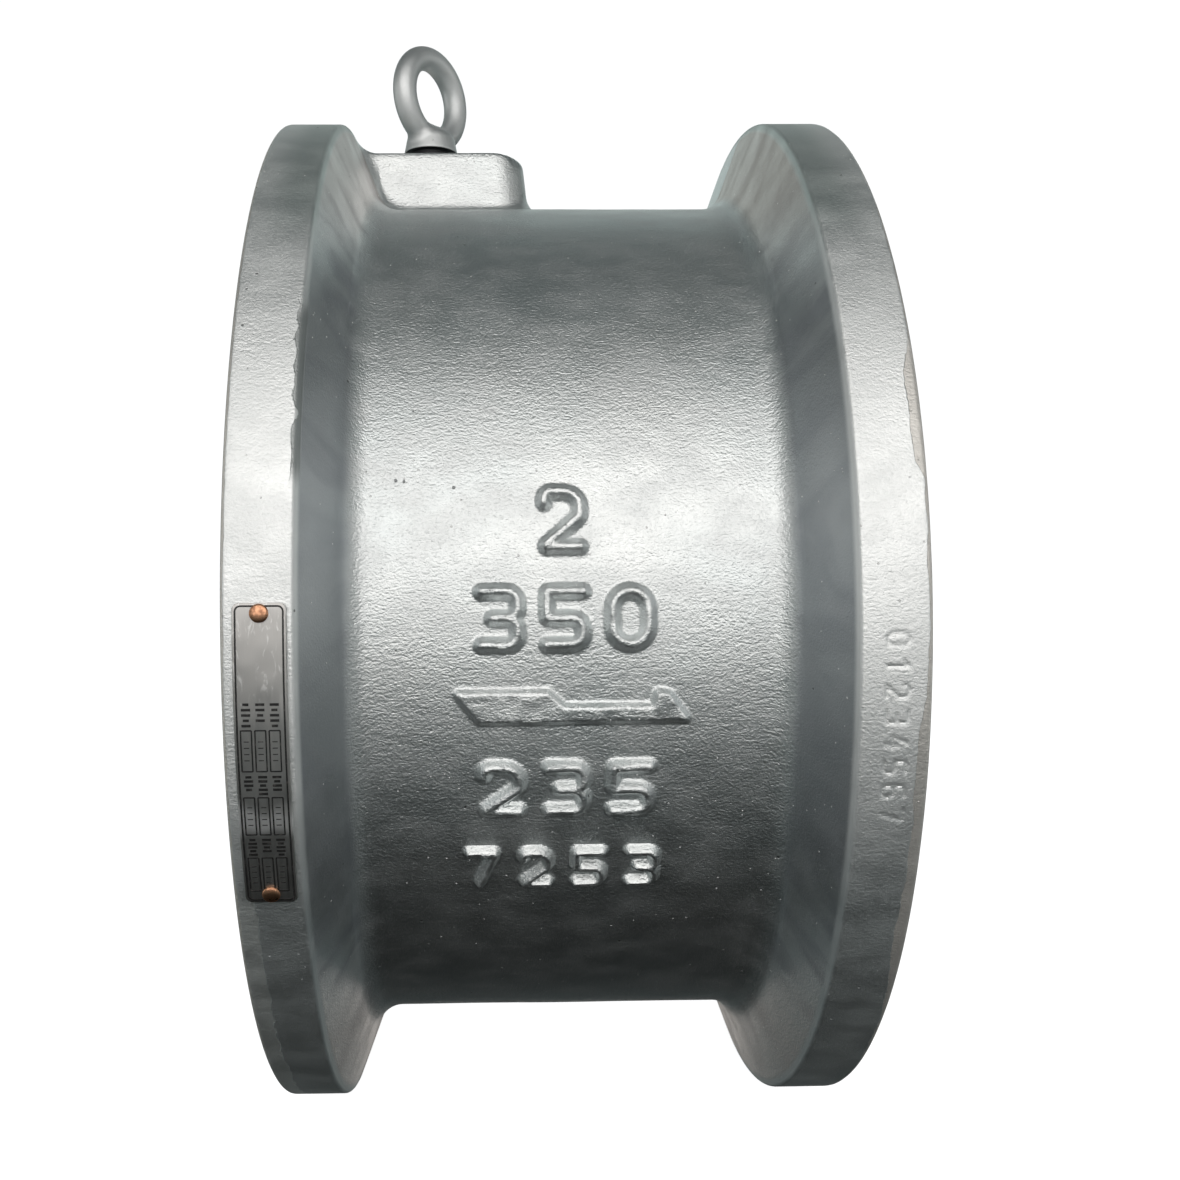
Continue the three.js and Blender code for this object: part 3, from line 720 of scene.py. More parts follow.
def pin_bosses():
    """Short bosses inside the chamber's wall, above and below, that both pins go through."""
    outline = [
        (0, BOSS_HEIGHT),
        (BOSS_RADIUS - 1, BOSS_HEIGHT),
        (BOSS_RADIUS, BOSS_HEIGHT + 1),
        (BOSS_RADIUS, BOSS_HEIGHT + 2.5),
        (BOSS_RADIUS + 2.5, BOSS_HEIGHT + 5),
        (BOSS_RADIUS + 2.5, BOSS_HEIGHT + 11),
        (0, BOSS_HEIGHT + 11),
    ]
    upper = [turned(outline, x) for x in (HINGE_X, STOP_X)]
    return joined(*upper, *[turned_over(boss) for boss in upper])


def rivet_angles():
    return [NAMEPLATE_ANGLES[0] + RIVET_INSET, NAMEPLATE_ANGLES[1] - RIVET_INSET]


def body_holes():
    """The pin holes with wider mouths for the plugs, the eyebolt's hole and the rivets' holes."""
    pin_hole = PIN_RADIUS + FIT_GAP
    plug_hole = PLUG_RADIUS + FIT_GAP
    pins = [
        (0, -BARREL_RADIUS - 6),
        (plug_hole + 7.5, -BARREL_RADIUS - 6),
        (plug_hole, -BARREL_RADIUS + 1.5),
        (plug_hole, PLUG_HIGH + FIT_GAP),
        (pin_hole, PLUG_HIGH + FIT_GAP),
        (pin_hole, WALL_TOP),
        (0, WALL_TOP),
    ]
    eyebolt = [(0, 130.7), (6.3, 130.7), (6.3, PAD_TOP - 1)]
    eyebolt += [(7.3, PAD_TOP), (7.3, PAD_TOP + 6), (0, PAD_TOP + 6)]
    rivet = turned([(0, -6.3), (1.5, -6.3), (1.5, 4), (0, 4)], sides=24)
    rivets = [on_front(rivet, angle, RIM_RADIUS, RIVET_X) for angle in rivet_angles()]
    return joined(turned(pins, HINGE_X), turned(pins, STOP_X), turned(eyebolt, EYEBOLT_X), *rivets)


def valve_casting(paint, face_steel, bore_steel):
    """The whole casting: painted outside, and bare on the gasket faces and inside the port."""
    piece = new_object("valve_casting", spool())
    combine(piece, joined(bridge(), pin_bosses()), "UNION")
    combine(piece, body_holes(), "DIFFERENCE", smooth_angle=42)
    place_piece(piece, BODY, "body", paint)
    piece.data.materials.append(face_steel)
    piece.data.materials.append(bore_steel)
    centres = np.empty(len(piece.data.polygons) * 3, np.float32)
    piece.data.polygons.foreach_get("center", centres)
    centres = centres.reshape(-1, 3) / MM
    radius = np.hypot(centres[:, 1], centres[:, 2])
    faces = (np.abs(centres[:, 0]) > FACE_X - 0.25) & (radius < RIM_RADIUS - 1.5)
    bore = (radius < CAVITY_RADIUS + 0.8) & ~faces
    finish = np.select([faces, bore], [1, 2], 0).astype(np.int32)
    piece.data.polygons.foreach_set("material_index", finish)


# ---------- Plates, seat facing and what holds them ----------
def plate_field(points):
    """Distance to the front plate: a half disc with two hinge lugs and two stop bosses."""
    x, y, z = points.T
    u = x - HINGE_X
    half_disc = round_common(np.hypot(y, z) - PLATE_RADIUS, y + PLATE_EDGE, 2)
    disc = round_common(round_common(half_disc, x - PLATE_BACK_X, 3.5), PLATE_FRONT_X - x, 1)
    knuckle = np.hypot(u, y) - LUG_RADIUS
    foot_rise, foot_run = 12.25, 8
    foot = foot_run * (u + 16) - foot_rise * (y + PLATE_EDGE + 20)
    foot = np.maximum(np.maximum(foot / math.hypot(foot_rise, foot_run), y + PLATE_EDGE), u)
    arm = round_union(knuckle, foot, 5)
    lugs = np.full(len(x), 1e3)
    for low, high in (OUTER_LUG, (-INNER_LUG[1], -INNER_LUG[0])):
        lugs = np.minimum(lugs, round_common(arm, np.abs(z - (low + high) / 2) - (high - low) / 2, 0.8))
    lugs = np.maximum(lugs, PLATE_FRONT_X + 2 - x)
    corner_y = np.abs(y - STOP_BOSS_Y) - (STOP_BOSS_HALF - STOP_BOSS_CORNER)
    corner_z = np.abs(np.abs(z) - STOP_BOSS_Z) - (STOP_BOSS_HALF - STOP_BOSS_CORNER)
    rounded = np.hypot(np.maximum(corner_y, 0), np.maximum(corner_z, 0))
    beyond = (corner_y > 0) & (corner_z > 0)
    side = np.where(beyond, rounded, np.maximum(corner_y, corner_z)) - STOP_BOSS_CORNER
    bosses = np.maximum(round_common(side, x - stop_boss_top(), 1), PLATE_FRONT_X + 2 - x)
    whole = round_union(disc, bosses, 4)
    filleted = np.maximum(round_union(whole, lugs, 3.5), y + PLATE_EDGE)
    solid = np.maximum(np.minimum(np.minimum(whole, lugs), filleted), PLATE_FRONT_X - x)
    return round_common(solid, PIN_RADIUS + FIT_GAP - np.hypot(u, y), 0.5)


def stop_boss_top():
    """Where the bosses end, so that they meet the stop pin when the plates are 80 degrees open."""
    return HINGE_X + STOP_FROM_HINGE * math.cos(OPEN_ANGLE) - PIN_RADIUS - 0.4


def plates(material):
    front = copy_of_node("front_plate_casting", "front_plate")
    settle_on_field(front, plate_field, 0.9)
    rear = bpy.data.objects.new("rear_plate_casting", front.data.copy())
    rear.data.transform(Matrix.Rotation(math.pi, 4, "X"))
    bpy.context.scene.collection.objects.link(rear)
    place_piece(front, FRONT, "front_plate", material)
    place_piece(rear, REAR, "rear_plate", material)


def seat_facing(material):
    corners = [(0.01, SEAT_LOW, 0.001), (SEAT_RADIUS, SEAT_LOW, 0.4)]
    corners += [(SEAT_RADIUS, SEAT_HIGH, 0.4), (0.01, SEAT_HIGH, 0.001)]
    edge = [tuple(point) for point in rounded_outline(corners)[0] if point[0] > 1]
    outline = [(0, SEAT_LOW), *edge, (0, SEAT_HIGH)]
    points, faces = turned(outline, sides=192)
    piece = new_object("seat_facing_ring", shape(points[:, [2, 1, 0]], *faces))
    radius = PORT_RADIUS + FIT_GAP
    end = math.asin((BRIDGE_HALF - FIT_GAP) / radius)
    turn = np.linspace(-math.pi / 2 + end, math.pi / 2 - end, 97)
    half = np.column_stack([radius * np.cos(turn), radius * np.sin(turn)])
    for sign in (-1, 1):
        points, faces = prism(half * [sign, 1], SEAT_LOW - 1, SEAT_HIGH + 1)
        combine(piece, shape(points[:, [2, 0, 1]], *faces), "DIFFERENCE")
    place_piece(piece, BODY, "seat_facing", material)


def pins(material):
    for node, x in (("hinge_pin", HINGE_X), ("stop_pin", STOP_X)):
        outline = [
            (0, PIN_LOW),
            (PIN_RADIUS - 1.2, PIN_LOW),
            (PIN_RADIUS - 0.9, PIN_LOW + 0.1),
            (PIN_RADIUS - 0.1, PIN_LOW + 0.9),
            (PIN_RADIUS, PIN_LOW + 1.2),
            *[(PIN_RADIUS, z) for z in np.linspace(-110, 110, 12)],
            (PIN_RADIUS, PIN_HIGH - 1.2),
            (PIN_RADIUS - 0.1, PIN_HIGH - 0.9),
            (PIN_RADIUS - 0.9, PIN_HIGH - 0.1),
            (PIN_RADIUS - 1.2, PIN_HIGH),
            (0, PIN_HIGH),
        ]
        piece = new_object(node + "_rod", turned(outline, x, 72))
        place_piece(piece, BODY, node, material)


def pin_plugs(material):
    """Blind plugs with a hexagon socket, under the two pins."""
    outline = [
        (0, PLUG_LOW),
        (PLUG_RADIUS - 1.4, PLUG_LOW),
        (PLUG_RADIUS - 1.1, PLUG_LOW + 0.1),
        (PLUG_RADIUS - 0.3, PLUG_LOW + 0.9),
        (PLUG_RADIUS, PLUG_LOW + 1.3),
    ]
    for z in np.arange(PLUG_LOW + 2, PLUG_HIGH - 1.5, THREAD_PITCH):
        outline += [(PLUG_RADIUS, z), (PLUG_RADIUS - 0.6, z + 0.55)]
    outline += [(PLUG_RADIUS - 0.8, PLUG_HIGH), (0, PLUG_HIGH)]
    corners = np.radians(np.arange(0, 360, 60))
    hexagon = HEXAGON_RADIUS * np.column_stack([np.cos(corners), np.sin(corners)])
    for node, x in (("hinge_pin_plug", HINGE_X), ("stop_pin_plug", STOP_X)):
        piece = new_object(node + "_screw", turned(outline, x, 72))
        combine(piece, moved(prism(hexagon, PLUG_LOW - 2, PLUG_LOW + 6), [x, 0, 0]), "DIFFERENCE")
        lead_in = [(0, PLUG_LOW - 3), (9.5, PLUG_LOW - 3), (5, PLUG_LOW + 1), (0, PLUG_LOW + 1)]
        combine(piece, turned(lead_in, x, 48), "DIFFERENCE")
        place_piece(piece, BODY, node, material)


def bearings(material):
    names = [f"{side}_{kind}_bearing" for side in ("upper", "lower") for kind in ("body", "plate", "spring")]
    for node in names + ["centre_spring_bearing"]:
        low, high = cad_range(node, 2)
        outer = (cad_range(node, 0)[1] - cad_range(node, 0)[0]) / 2
        inner = PIN_RADIUS + FIT_GAP
        corners = [(inner, low, 0.4), (outer, low, 0.5), (outer, high, 0.5), (inner, high, 0.4)]
        piece = new_object(node + "_ring", turned(rounded_outline(corners)[0], HINGE_X, 72))
        place_piece(piece, BODY, node, material)


def spring_path():
    """From the reaction leg, down the coil, to the acting leg that lies on the plate."""
    start = math.pi / 2 - math.asin((SPRING_RADIUS + PIN_RADIUS + SPRING_WIRE + FIT_GAP) / STOP_FROM_HINGE)
    share = np.linspace(0, 1, 40 * SPRING_TURNS + 1)
    angle = start + share * (math.pi - start + 2 * math.pi * SPRING_TURNS)
    z = SPRING_HIGH + share * (SPRING_LOW - SPRING_HIGH)
    coil = np.stack([HINGE_X + SPRING_RADIUS * np.cos(angle), SPRING_RADIUS * np.sin(angle), z], -1)
    back = np.arange(REACTION_LEG, 0, -2)[:, None]
    reaction = coil[0] - back * [-math.sin(start), math.cos(start), 0]
    lean = PLATE_BACK_X + SPRING_WIRE + FIT_GAP - (HINGE_X - SPRING_RADIUS)
    out = np.arange(2, ACTING_LEG + 1, 2)[:, None]
    acting = coil[-1] + out * [lean / ACTING_LEG, -1, 0]
    return np.vstack([reaction, coil, acting])


def springs(material):
    wire = tube(spring_path(), SPRING_WIRE)
    both = [("upper_spring", wire, FRONT, 1), ("lower_spring", turned_over(wire), REAR, -1)]
    for node, part, half, sign in both:
        piece = new_object(node + "_coil", part)
        piece.data.materials.append(material)
        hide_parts(node)
        start = (HINGE_X * MM, 0, sign * SPRING_HIGH * MM)
        end = (HINGE_X * MM, 0, sign * SPRING_LOW * MM)
        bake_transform(piece)


# ---------- Eyebolt and nameplate ----------
def eyebolt_field(points):
    """Distance to a forged ring that runs into a coned foot with a collar and a shank."""
    x, y, z = points.T
    u = x - EYEBOLT_X
    along = u * math.cos(EYE_TURN) + y * math.sin(EYE_TURN)
    across = y * math.cos(EYE_TURN) - u * math.sin(EYE_TURN)
    up = z - EYE_Z
    ring = np.hypot(np.hypot(along, up) - EYE_RADIUS, across) - EYE_BAR
    radius = np.hypot(u, y)
    foot_low = PAD_TOP + FIT_GAP
    lean = (radius - COLLAR_RADIUS) * math.cos(CONE_TILT) + (z - COLLAR_Z - 1) * math.sin(CONE_TILT)
    cone = round_common(round_common(lean, z - CONE_TOP, 4.5), COLLAR_Z - z, 0.6)
    neck = round_common(radius - NECK_RADIUS, np.abs(z - foot_low - 3) - 3, 0.3)
    shank = round_common(radius - 6, np.abs(z - 145) - 14, 0.8)
    foot = np.minimum(round_union(cone, neck, 0.3), shank)
    return round_union(foot, ring, 2)


def eyebolt(material):
    turn = np.linspace(0, 2 * math.pi, 73)
    along = EYE_RADIUS * np.cos(turn)
    heights = EYE_Z + EYE_RADIUS * np.sin(turn)
    ring = np.column_stack([along * math.cos(EYE_TURN), along * math.sin(EYE_TURN), heights])
    foot = [(0, 131), (6, 131), (6, PAD_TOP + FIT_GAP), (NECK_RADIUS, PAD_TOP + FIT_GAP)]
    foot += [(NECK_RADIUS, COLLAR_Z), (COLLAR_RADIUS, COLLAR_Z), (COLLAR_RADIUS, COLLAR_Z + 1)]
    foot += [(7.5, CONE_TOP - 2), (4, CONE_TOP), (0, CONE_TOP)]
    rough_shape = joined(ring_tube(ring + [EYEBOLT_X, 0, 0], EYE_BAR), turned(foot, EYEBOLT_X))
    piece = new_object("lifting_eyebolt", rough_shape)
    settle_on_field(piece, eyebolt_field, 0.42)
    place_piece(piece, BODY, "eyebolt", material)


def on_rim(x, along, radius):
    """A point on the rim's front, from its x and its distance up round the nameplate."""
    return around_body(x, radius, along / NAMEPLATE_RADIUS)


def nameplate_sheet():
    """A thin plate bent to the rim, with rounded corners and a rolled edge."""
    low, high = [math.radians(angle) * NAMEPLATE_RADIUS for angle in NAMEPLATE_ANGLES]
    corner = 1.6
    near_end = corner * (1 - np.cos(np.linspace(0, math.pi / 2, 7)))
    middle = np.linspace(low + corner, high - corner, 70)[1:-1]
    stations = np.concatenate([low + near_end, middle, high - near_end[::-1]])
    half, centre = (NAMEPLATE_X[1] - NAMEPLATE_X[0]) / 2, sum(NAMEPLATE_X) / 2
    edge = 0.22
    top, bottom = NAMEPLATE_TOP - NAMEPLATE_RADIUS, 0
    section = rounded_outline([(-1, bottom, 0.05), (1, bottom, 0.05), (1, top, edge), (-1, top, edge)])[0]
    rings = []
    for station in stations:
        inset = corner - min(corner, station - low, high - station)
        width = half - corner + math.sqrt(corner ** 2 - inset ** 2)
        across = np.sign(section[:, 0]) * (width - 1 + np.abs(section[:, 0]))
        rings.append(on_rim(centre + across, station, NAMEPLATE_RADIUS + section[:, 1]))
    return through_rings(rings)


def ribbon(path, width, closed=False, height=0.06):
    """A thin flat line of enamel on the nameplate, along (x, distance up) points."""
    path = np.asarray(path, float)
    if closed:
        ahead = np.roll(path, -1, 0) - np.roll(path, 1, 0)
    else:
        ahead = np.gradient(path, axis=0)
    ahead /= np.linalg.norm(ahead, axis=1)[:, None]
    side = np.column_stack([-ahead[:, 1], ahead[:, 0]]) * width / 2
    low, high = NAMEPLATE_TOP - 0.1, NAMEPLATE_TOP + height
    edges = [(side, low), (side, high), (-side, high), (-side, low)]
    rings = np.stack([on_rim(*(path + shift).T, radius) for shift, radius in edges], 1)
    return through_rings(rings, close_rows=closed)


def level_line(middle, place, reach, width):
    """A short line of enamel along X, as far as reach on both sides of its middle."""
    count = max(2, math.ceil(2 * reach / 1.5) + 1)
    return ribbon(np.linspace((middle - reach, place), (middle + reach, place), count), width)


def framed(left, right, low, high, corner, width):
    """A closed line of enamel round a box, with rounded corners."""
    corners = [(left, low, corner), (right, low, corner), (right, high, corner), (left, high, corner)]
    return ribbon(rounded_outline(corners, lambda side, point: 1.2)[0], width, closed=True)
def nameplate(sheet_material, enamel):
    piece = new_object("nameplate_sheet", nameplate_sheet())
    place_piece(piece, BODY, "nameplate", sheet_material)
    lines = new_object("nameplate_enamel", joined(*nameplate_lines()))
    place_piece(lines, BODY, None, enamel)


def nameplate_lines():
    """A border, and rows of entries in three columns: each is a line of ticks above a framed box."""
    per_degree = math.radians(1) * NAMEPLATE_RADIUS
    low, high = [angle * per_degree for angle in NAMEPLATE_ANGLES]
    left, right = NAMEPLATE_X
    margin = 0.75
    lines = [framed(left + margin, right - margin, low + margin, high - margin, 1.2, 0.42)]
    for row, angles in enumerate(NAMEPLATE_ROWS):
        top, box_top, box_low = [angle * per_degree for angle in angles]
        for column in range(3):
            middle = left + 2.75 + column * 3.3
            ticks = 5 - (row + column) % 2
            for tick in range(ticks):
                place = top - (tick + 0.5) * (top - box_top) / 5.4
                reach = 1.05 if (tick + column) % 3 else 0.7
                lines.append(level_line(middle + 0.1, place, reach, 0.62))
            lines.append(framed(middle - 1.25, middle + 1.25, box_low, box_top, 0.15, 0.34))
            entry = (box_top + box_low) / 2
            lines += [level_line(middle, entry + (tick - 1.5) * 1.5, 0.6, 0.22) for tick in range(4)]
    return lines


def nameplate_rivets(material):
    """Domed rivets, each with a shank in the rim."""
    seat = NAMEPLATE_TOP - RIM_RADIUS + 0.05
    dome = [(2.2 * math.cos(turn), seat + 0.25 + 0.75 * math.sin(turn)) for turn in np.linspace(0, 1.45, 9)]
    outline = [(0, -6), (0.9, -6), (1.2, -5.7), (1.2, seat)]
    outline += [(2.1, seat), (2.2, seat + 0.12), *dome, (0, seat + 1)]
    for node, angle in zip(("lower_nameplate_rivet", "upper_nameplate_rivet"), rivet_angles()):
        piece = new_object(node + "_head", on_front(turned(outline, sides=40), angle, RIM_RADIUS, RIVET_X))
        place_piece(piece, BODY, node, material)


# ---------- Materials ----------
class Value:
    """What a node gives. Arithmetic with it adds nodes, and masks run from 0 to 1."""

    def __init__(self, finish, socket):
        self.finish = finish
        self.socket = socket

    def __abs__(self):
        return self.finish.maths("ABSOLUTE", self)

    def __add__(self, other):
        return self.finish.maths("ADD", self, other)

    def __sub__(self, other):
        return self.finish.maths("SUBTRACT", self, other)

    def __rsub__(self, other):
        return self.finish.maths("SUBTRACT", other, self)

    def __mul__(self, other):
        return self.finish.maths("MULTIPLY", self, other)

    def __truediv__(self, other):
        return self.finish.maths("DIVIDE", self, other)

    def __pow__(self, other):
        return self.finish.maths("POWER", self, other)

    def __or__(self, other):
        return self.finish.maths("MAXIMUM", self, other)

    def step(self, low, high, to_low=0.0, to_high=1.0):
        """Runs smoothly from to_low to to_high, while this value runs from low to high."""
        sockets = {"Value": self, "From Min": low, "From Max": high, "To Min": to_low, "To Max": to_high}
        return self.finish.value("MapRange", sockets, interpolation_type="SMOOTHSTEP")

    def shaken(self, noise, reach):
        """This value, made ragged by a noise over a reach in metres."""
        return self + (noise - 0.5) * reach

    def tinted(self, share, colour):
        """This colour, with a share of another one over it."""
        return self.finish.mix(share, self, colour)


class Finish:
    """A node material, with short ways to add its nodes. Lengths in it are in metres."""

    def __init__(self, name, **sockets):
        self.data = bpy.data.materials.new(name)
        self.data.use_nodes = True
        self.tree = self.data.node_tree
        self.place = self.value("TexCoord", output="Object")
        self.sockets = {}
        self.put(**sockets)

    def join(self, socket, value):
        if isinstance(value, Value):
            self.tree.links.new(value.socket, socket)
        else:
            socket.default_value = value

    def add(self, kind, sockets, **settings):
        node = self.tree.nodes.new("ShaderNode" + kind)
        for name, value in settings.items():
            setattr(node, name, value)
        for name, value in sockets.items():
            self.join(node.inputs[name], value)
        return node

    def value(self, kind, sockets=None, output=0, **settings):
        return Value(self, self.add(kind, sockets or {}, **settings).outputs[output])

    def put(self, **sockets):
        """Sets the shader's sockets: base_color fills Base Color."""
        self.sockets.update(sockets)
        for name, value in sockets.items():
            self.join(self.tree.nodes["Principled BSDF"].inputs[name.replace("_", " ").title()], value)

    def maths(self, operation, *values):
        return self.value("Math", dict(enumerate(values)), operation=operation)

    def axes(self):
        return [Value(self, socket) for socket in self.add("SeparateXYZ", {"Vector": self.place}).outputs]

    def noise(self, size, detail=2.0, vector=None, distortion=0.0):
        """Noise from 0 to 1, with features of a size in millimetres, which may differ by axis."""
        sizes = size if isinstance(size, tuple) else (size, size, size)
        scale = [1 / (MM * length) for length in sizes]
        place = self.value("Mapping", {"Vector": vector or self.place, "Scale": scale})
        sockets = {"Vector": place, "Scale": 1.0, "Detail": detail, "Distortion": distortion}
        return self.value("TexNoise", sockets)

    def specks(self, size, share):
        """Small round dots scattered over a surface: 1 inside a dot."""
        cells = self.add("TexVoronoi", {"Vector": self.place, "Scale": 1 / (size * MM), "Randomness": 1.0})
        distance, colour = [Value(self, cells.outputs[name]) for name in ("Distance", "Color")]
        chosen = self.maths("LESS_THAN", self.value("SeparateColor", {"Color": colour}), share)
        return distance.step(0.24, 0.12) * chosen

    def mix(self, share, first, second):
        node = self.add("Mix", {}, data_type="RGBA")
        inputs = {socket.identifier: socket for socket in node.inputs}
        outputs = {socket.identifier: socket for socket in node.outputs}
        for name, value in zip(("Factor_Float", "A_Color", "B_Color"), (share, first, second)):
            self.join(inputs[name], value)
        return Value(self, outputs["Result_Color"])

    def bump(self, *layers, under=None):
        """Bumps over each other: each a height that runs from 0 to 1, and its depth in millimetres."""
        for height, depth in layers:
            sockets = {"Height": height, "Distance": depth * MM, "Strength": 1.0}
            if under:
                sockets["Normal"] = under
            under = self.value("Bump", sockets)
        return under


def grey(value, warmth=0.0):
    return (value * (1 + warmth), value, value * (1 - warmth), 1)


def radial_streaks(finish, radius):
    """Brushed-on smears that run outward over the rims' inner faces."""
    x, y, z = finish.axes()
    side = finish.maths("SIGN", x) * 0.3
    around = {"X": y * 0.147 / radius, "Y": z * 0.147 / radius, "Z": radius + side}
    return finish.noise((24, 24, 60), 2.5, finish.value("CombineXYZ", around), 1.5)


def aluminium_paint(name, grain=1.0):
    """Silver paint, brushed over a sand casting."""
    finish = Finish(name)
    x, y, z = finish.axes()
    radius = (y * y + z * z) ** 0.5
    side = abs(x)
    cloud = finish.noise(38, 3.0)
    patches = finish.noise((14, 9, 9), 3.0)
    long_grain = finish.noise((3.2, 1.5, 1.5), 3.0)
    sand = finish.noise((0.95, 0.6, 0.6), 3.0)
    fine = finish.noise(0.45, 1.0)
    streaks = radial_streaks(finish, radius)
    base = finish.mix(cloud.step(0.3, 0.7), (0.72, 0.765, 0.765, 1), (0.78, 0.81, 0.805, 1))
    base = base.tinted(patches.step(0.35, 0.75), (0.755, 0.785, 0.785, 1))
    # The rims' inner faces are smeared, carry a painted shade that is darkest near the middle, and are
    # warmer high up.
    between = side.step(0.0440, 0.0500) * side.step(0.0662, 0.0650)
    on_pad = abs(y).step(0.0230, 0.0215) * z.step(0.12, 0.13)
    inner_face = radius.step(0.1352, 0.1385) * (between * (1.0 - on_pad))
    high = abs(z).step(0.085, 0.125) * inner_face
    outlet_top = high * x.step(-0.01, 0.01) * z.step(0.02, 0.05, 0.0, 0.8)
    base = base.tinted(streaks.step(0.38, 0.68) * inner_face, (0.46, 0.485, 0.51, 1))
    # Painted shade: the inner faces are darkened, most near the middle.
    base = base.tinted(inner_face * abs(z).step(0.045, 0.095, 0.75, 0.3), (0.405, 0.43, 0.455, 1))
    base = base.tinted(high * 0.7, (0.70, 0.65, 0.62, 1))
    base = base.tinted(outlet_top, (0.46, 0.415, 0.39, 1))
    # The rims are paler, and darker high up towards their inner edges, a painted shade.
    rim = radius.step(0.157, 0.159)
    rim_top_shade = z.step(0.088, 0.108) * side.step(0.0805, 0.0700, 0.25, 1.0)
    rim_top_shade = rim_top_shade * side.step(0.0600, 0.0630, 0.0, 0.6)
    base = base.tinted(rim * 0.9, (0.93, 0.955, 0.95, 1))
    # Painted shade on the rims' upper parts, towards their inner edges.
    base = base.tinted(rim * rim_top_shade, (0.42, 0.50, 0.48, 1))
    # Painted glints: small pale specks that stand in for sparkle of light, also raised a little by the bump.
    painted_glints = finish.specks(1.2, 0.03)
    # The pits are real hollows in the bump, and their near-black colour is a painted shade in them.
    shaded_pits = finish.specks(2.1, 0.005)
    base = base.tinted(shaded_pits * 0.75, (0.14, 0.15, 0.15, 1))
    base = base.tinted(painted_glints, (0.96, 0.97, 0.96, 1))
    rough = patches.step(0.3, 0.75, 0.36, 0.47) + sand.step(0.3, 0.8, -0.03, 0.06)
    rough = rough + rim * 0.13 + inner_face * streaks.step(0.35, 0.75, -0.04, 0.05)
    calm = 1.0 - inner_face * 0.6 - rim * 0.35
    layers = [(long_grain * calm, 0.12 * grain), (sand * calm, 0.20 * grain), (fine * calm, 0.08 * grain)]
    layers += [(painted_glints, 0.12), (1.0 - shaded_pits, 0.12)]
    finish.put(base_color=base, roughness=rough, normal=finish.bump(*layers), metallic=0.96 - painted_glints * 0.7)
    return finish


def body_paint():
    """The paint on the casting, with its worn places."""
    finish = aluminium_paint("aluminium_paint")
    paint = finish.sockets
    base = paint["base_color"]
    x, y, z = finish.axes()
    radius = (y * y + z * z) ** 0.5
    ragged = finish.noise((3, 6, 6), 5.0)
    wander = finish.noise(15, 3.0)
    # The outlet rim's outer edge has lost a narrow strip of paint, which widens in two places.
    high_patch = z.step(0.066, 0.054) * z.step(0.028, 0.036)
    low_patch = z.step(-0.014, -0.032) * z.step(-0.115, -0.085)
    edge = x.shaken(wander, 0.0025).shaken(ragged, 0.002) + (high_patch * 0.0023 + low_patch * 0.0019)
    strip = edge.step(0.08135, 0.08150) * (z.step(0.066, 0.060) * y.step(-0.03, -0.04))
    # Below the nameplate, the inlet rim's outer edge has a band where a coat is missing.
    worn = x.shaken(ragged, 0.0030).step(-0.0773, -0.0775) * z.step(-0.066, -0.072) * y.step(-0.02, -0.03)
    # Painted shade: the rims' lower parts are darker and bluer.
    low_rim_shade = radius.step(0.157, 0.159) * z.step(-0.04, -0.08)
    base = base.tinted(low_rim_shade * 0.6, (0.50, 0.56, 0.57, 1))
    base = base.tinted(worn * 0.8, (0.95, 0.99, 0.97, 1))
    # High up, the inlet rim's inner edge has a ragged crust, and both outer edges have white chips.
    crust = x.shaken(ragged, 0.005).step(-0.0665, -0.0662) * x.step(-0.0640, -0.0645)
    crust = crust * radius.step(0.1572, 0.1580) * abs(z - 0.052).step(0.025, 0.018)
    base = base.tinted(crust * 0.7, (0.24, 0.27, 0.27, 1))
    chips = finish.specks(1.5, 0.12) * abs(x).step(0.0797, 0.0810) * z.step(0.050, 0.080)
    base = base.tinted(chips, (0.97, 0.97, 0.96, 1))
    # Both faces' outer corners are bare where they were machined.
    bare = strip | (abs(x) + ragged * 0.0009).step(0.08205, 0.0822)
    steel = finish.mix(finish.noise((2, 5, 5), 3.0), (0.60, 0.59, 0.56, 1), (0.78, 0.77, 0.73, 1))
    peeled = bare | worn | crust
    finish.put(
        base_color=base.tinted(bare, steel),
        metallic=paint["metallic"] - chips * 0.7 - bare * 0.3,
        roughness=paint["roughness"] - bare * 0.08,
        normal=finish.bump((1.0 - peeled, 0.28), under=paint["normal"]),
    )
    return finish.data


def eyebolt_paint():
    """The same paint on a smoother forging, with a near-black painted shade below the collar's underside."""
    finish = aluminium_paint("eyebolt_paint", grain=0.25)
    base = finish.sockets["base_color"]
    # Painted shade: near black below the collar, where it overhangs the neck.
    collar_shade = finish.axes()[2].step((COLLAR_Z + 0.3) * MM, (COLLAR_Z + 0.1) * MM)
    finish.put(base_color=base.tinted(0.33, (0.30, 0.325, 0.335, 1)).tinted(collar_shade, (0.045, 0.047, 0.05, 1)))
    return finish.data


def turned_steel(name, base, pitch, roughness=0.28, around_x=True):
    """Steel with the fine rings that a lathe leaves, round X or round the vertical."""
    finish = Finish(name, metallic=1.0)
    x, y, z = finish.axes()
    first, second, along = (y, z, x) if around_x else (x - HINGE_X * MM, y, z)
    radius = (first * first + second * second) ** 0.5
    rings = finish.noise((pitch, pitch, 50), 2.0, finish.value("CombineXYZ", {"X": radius, "Y": along}))
    cloud = finish.noise(14, 3.0)
    finish.put(
        base_color=finish.mix(cloud, tuple(0.88 * part for part in base[:3]) + (1,), base),
        roughness=cloud.step(0.3, 0.7, roughness - 0.015, roughness + 0.02),
        normal=finish.bump((rings, 0.012)),
    )
    return finish.data


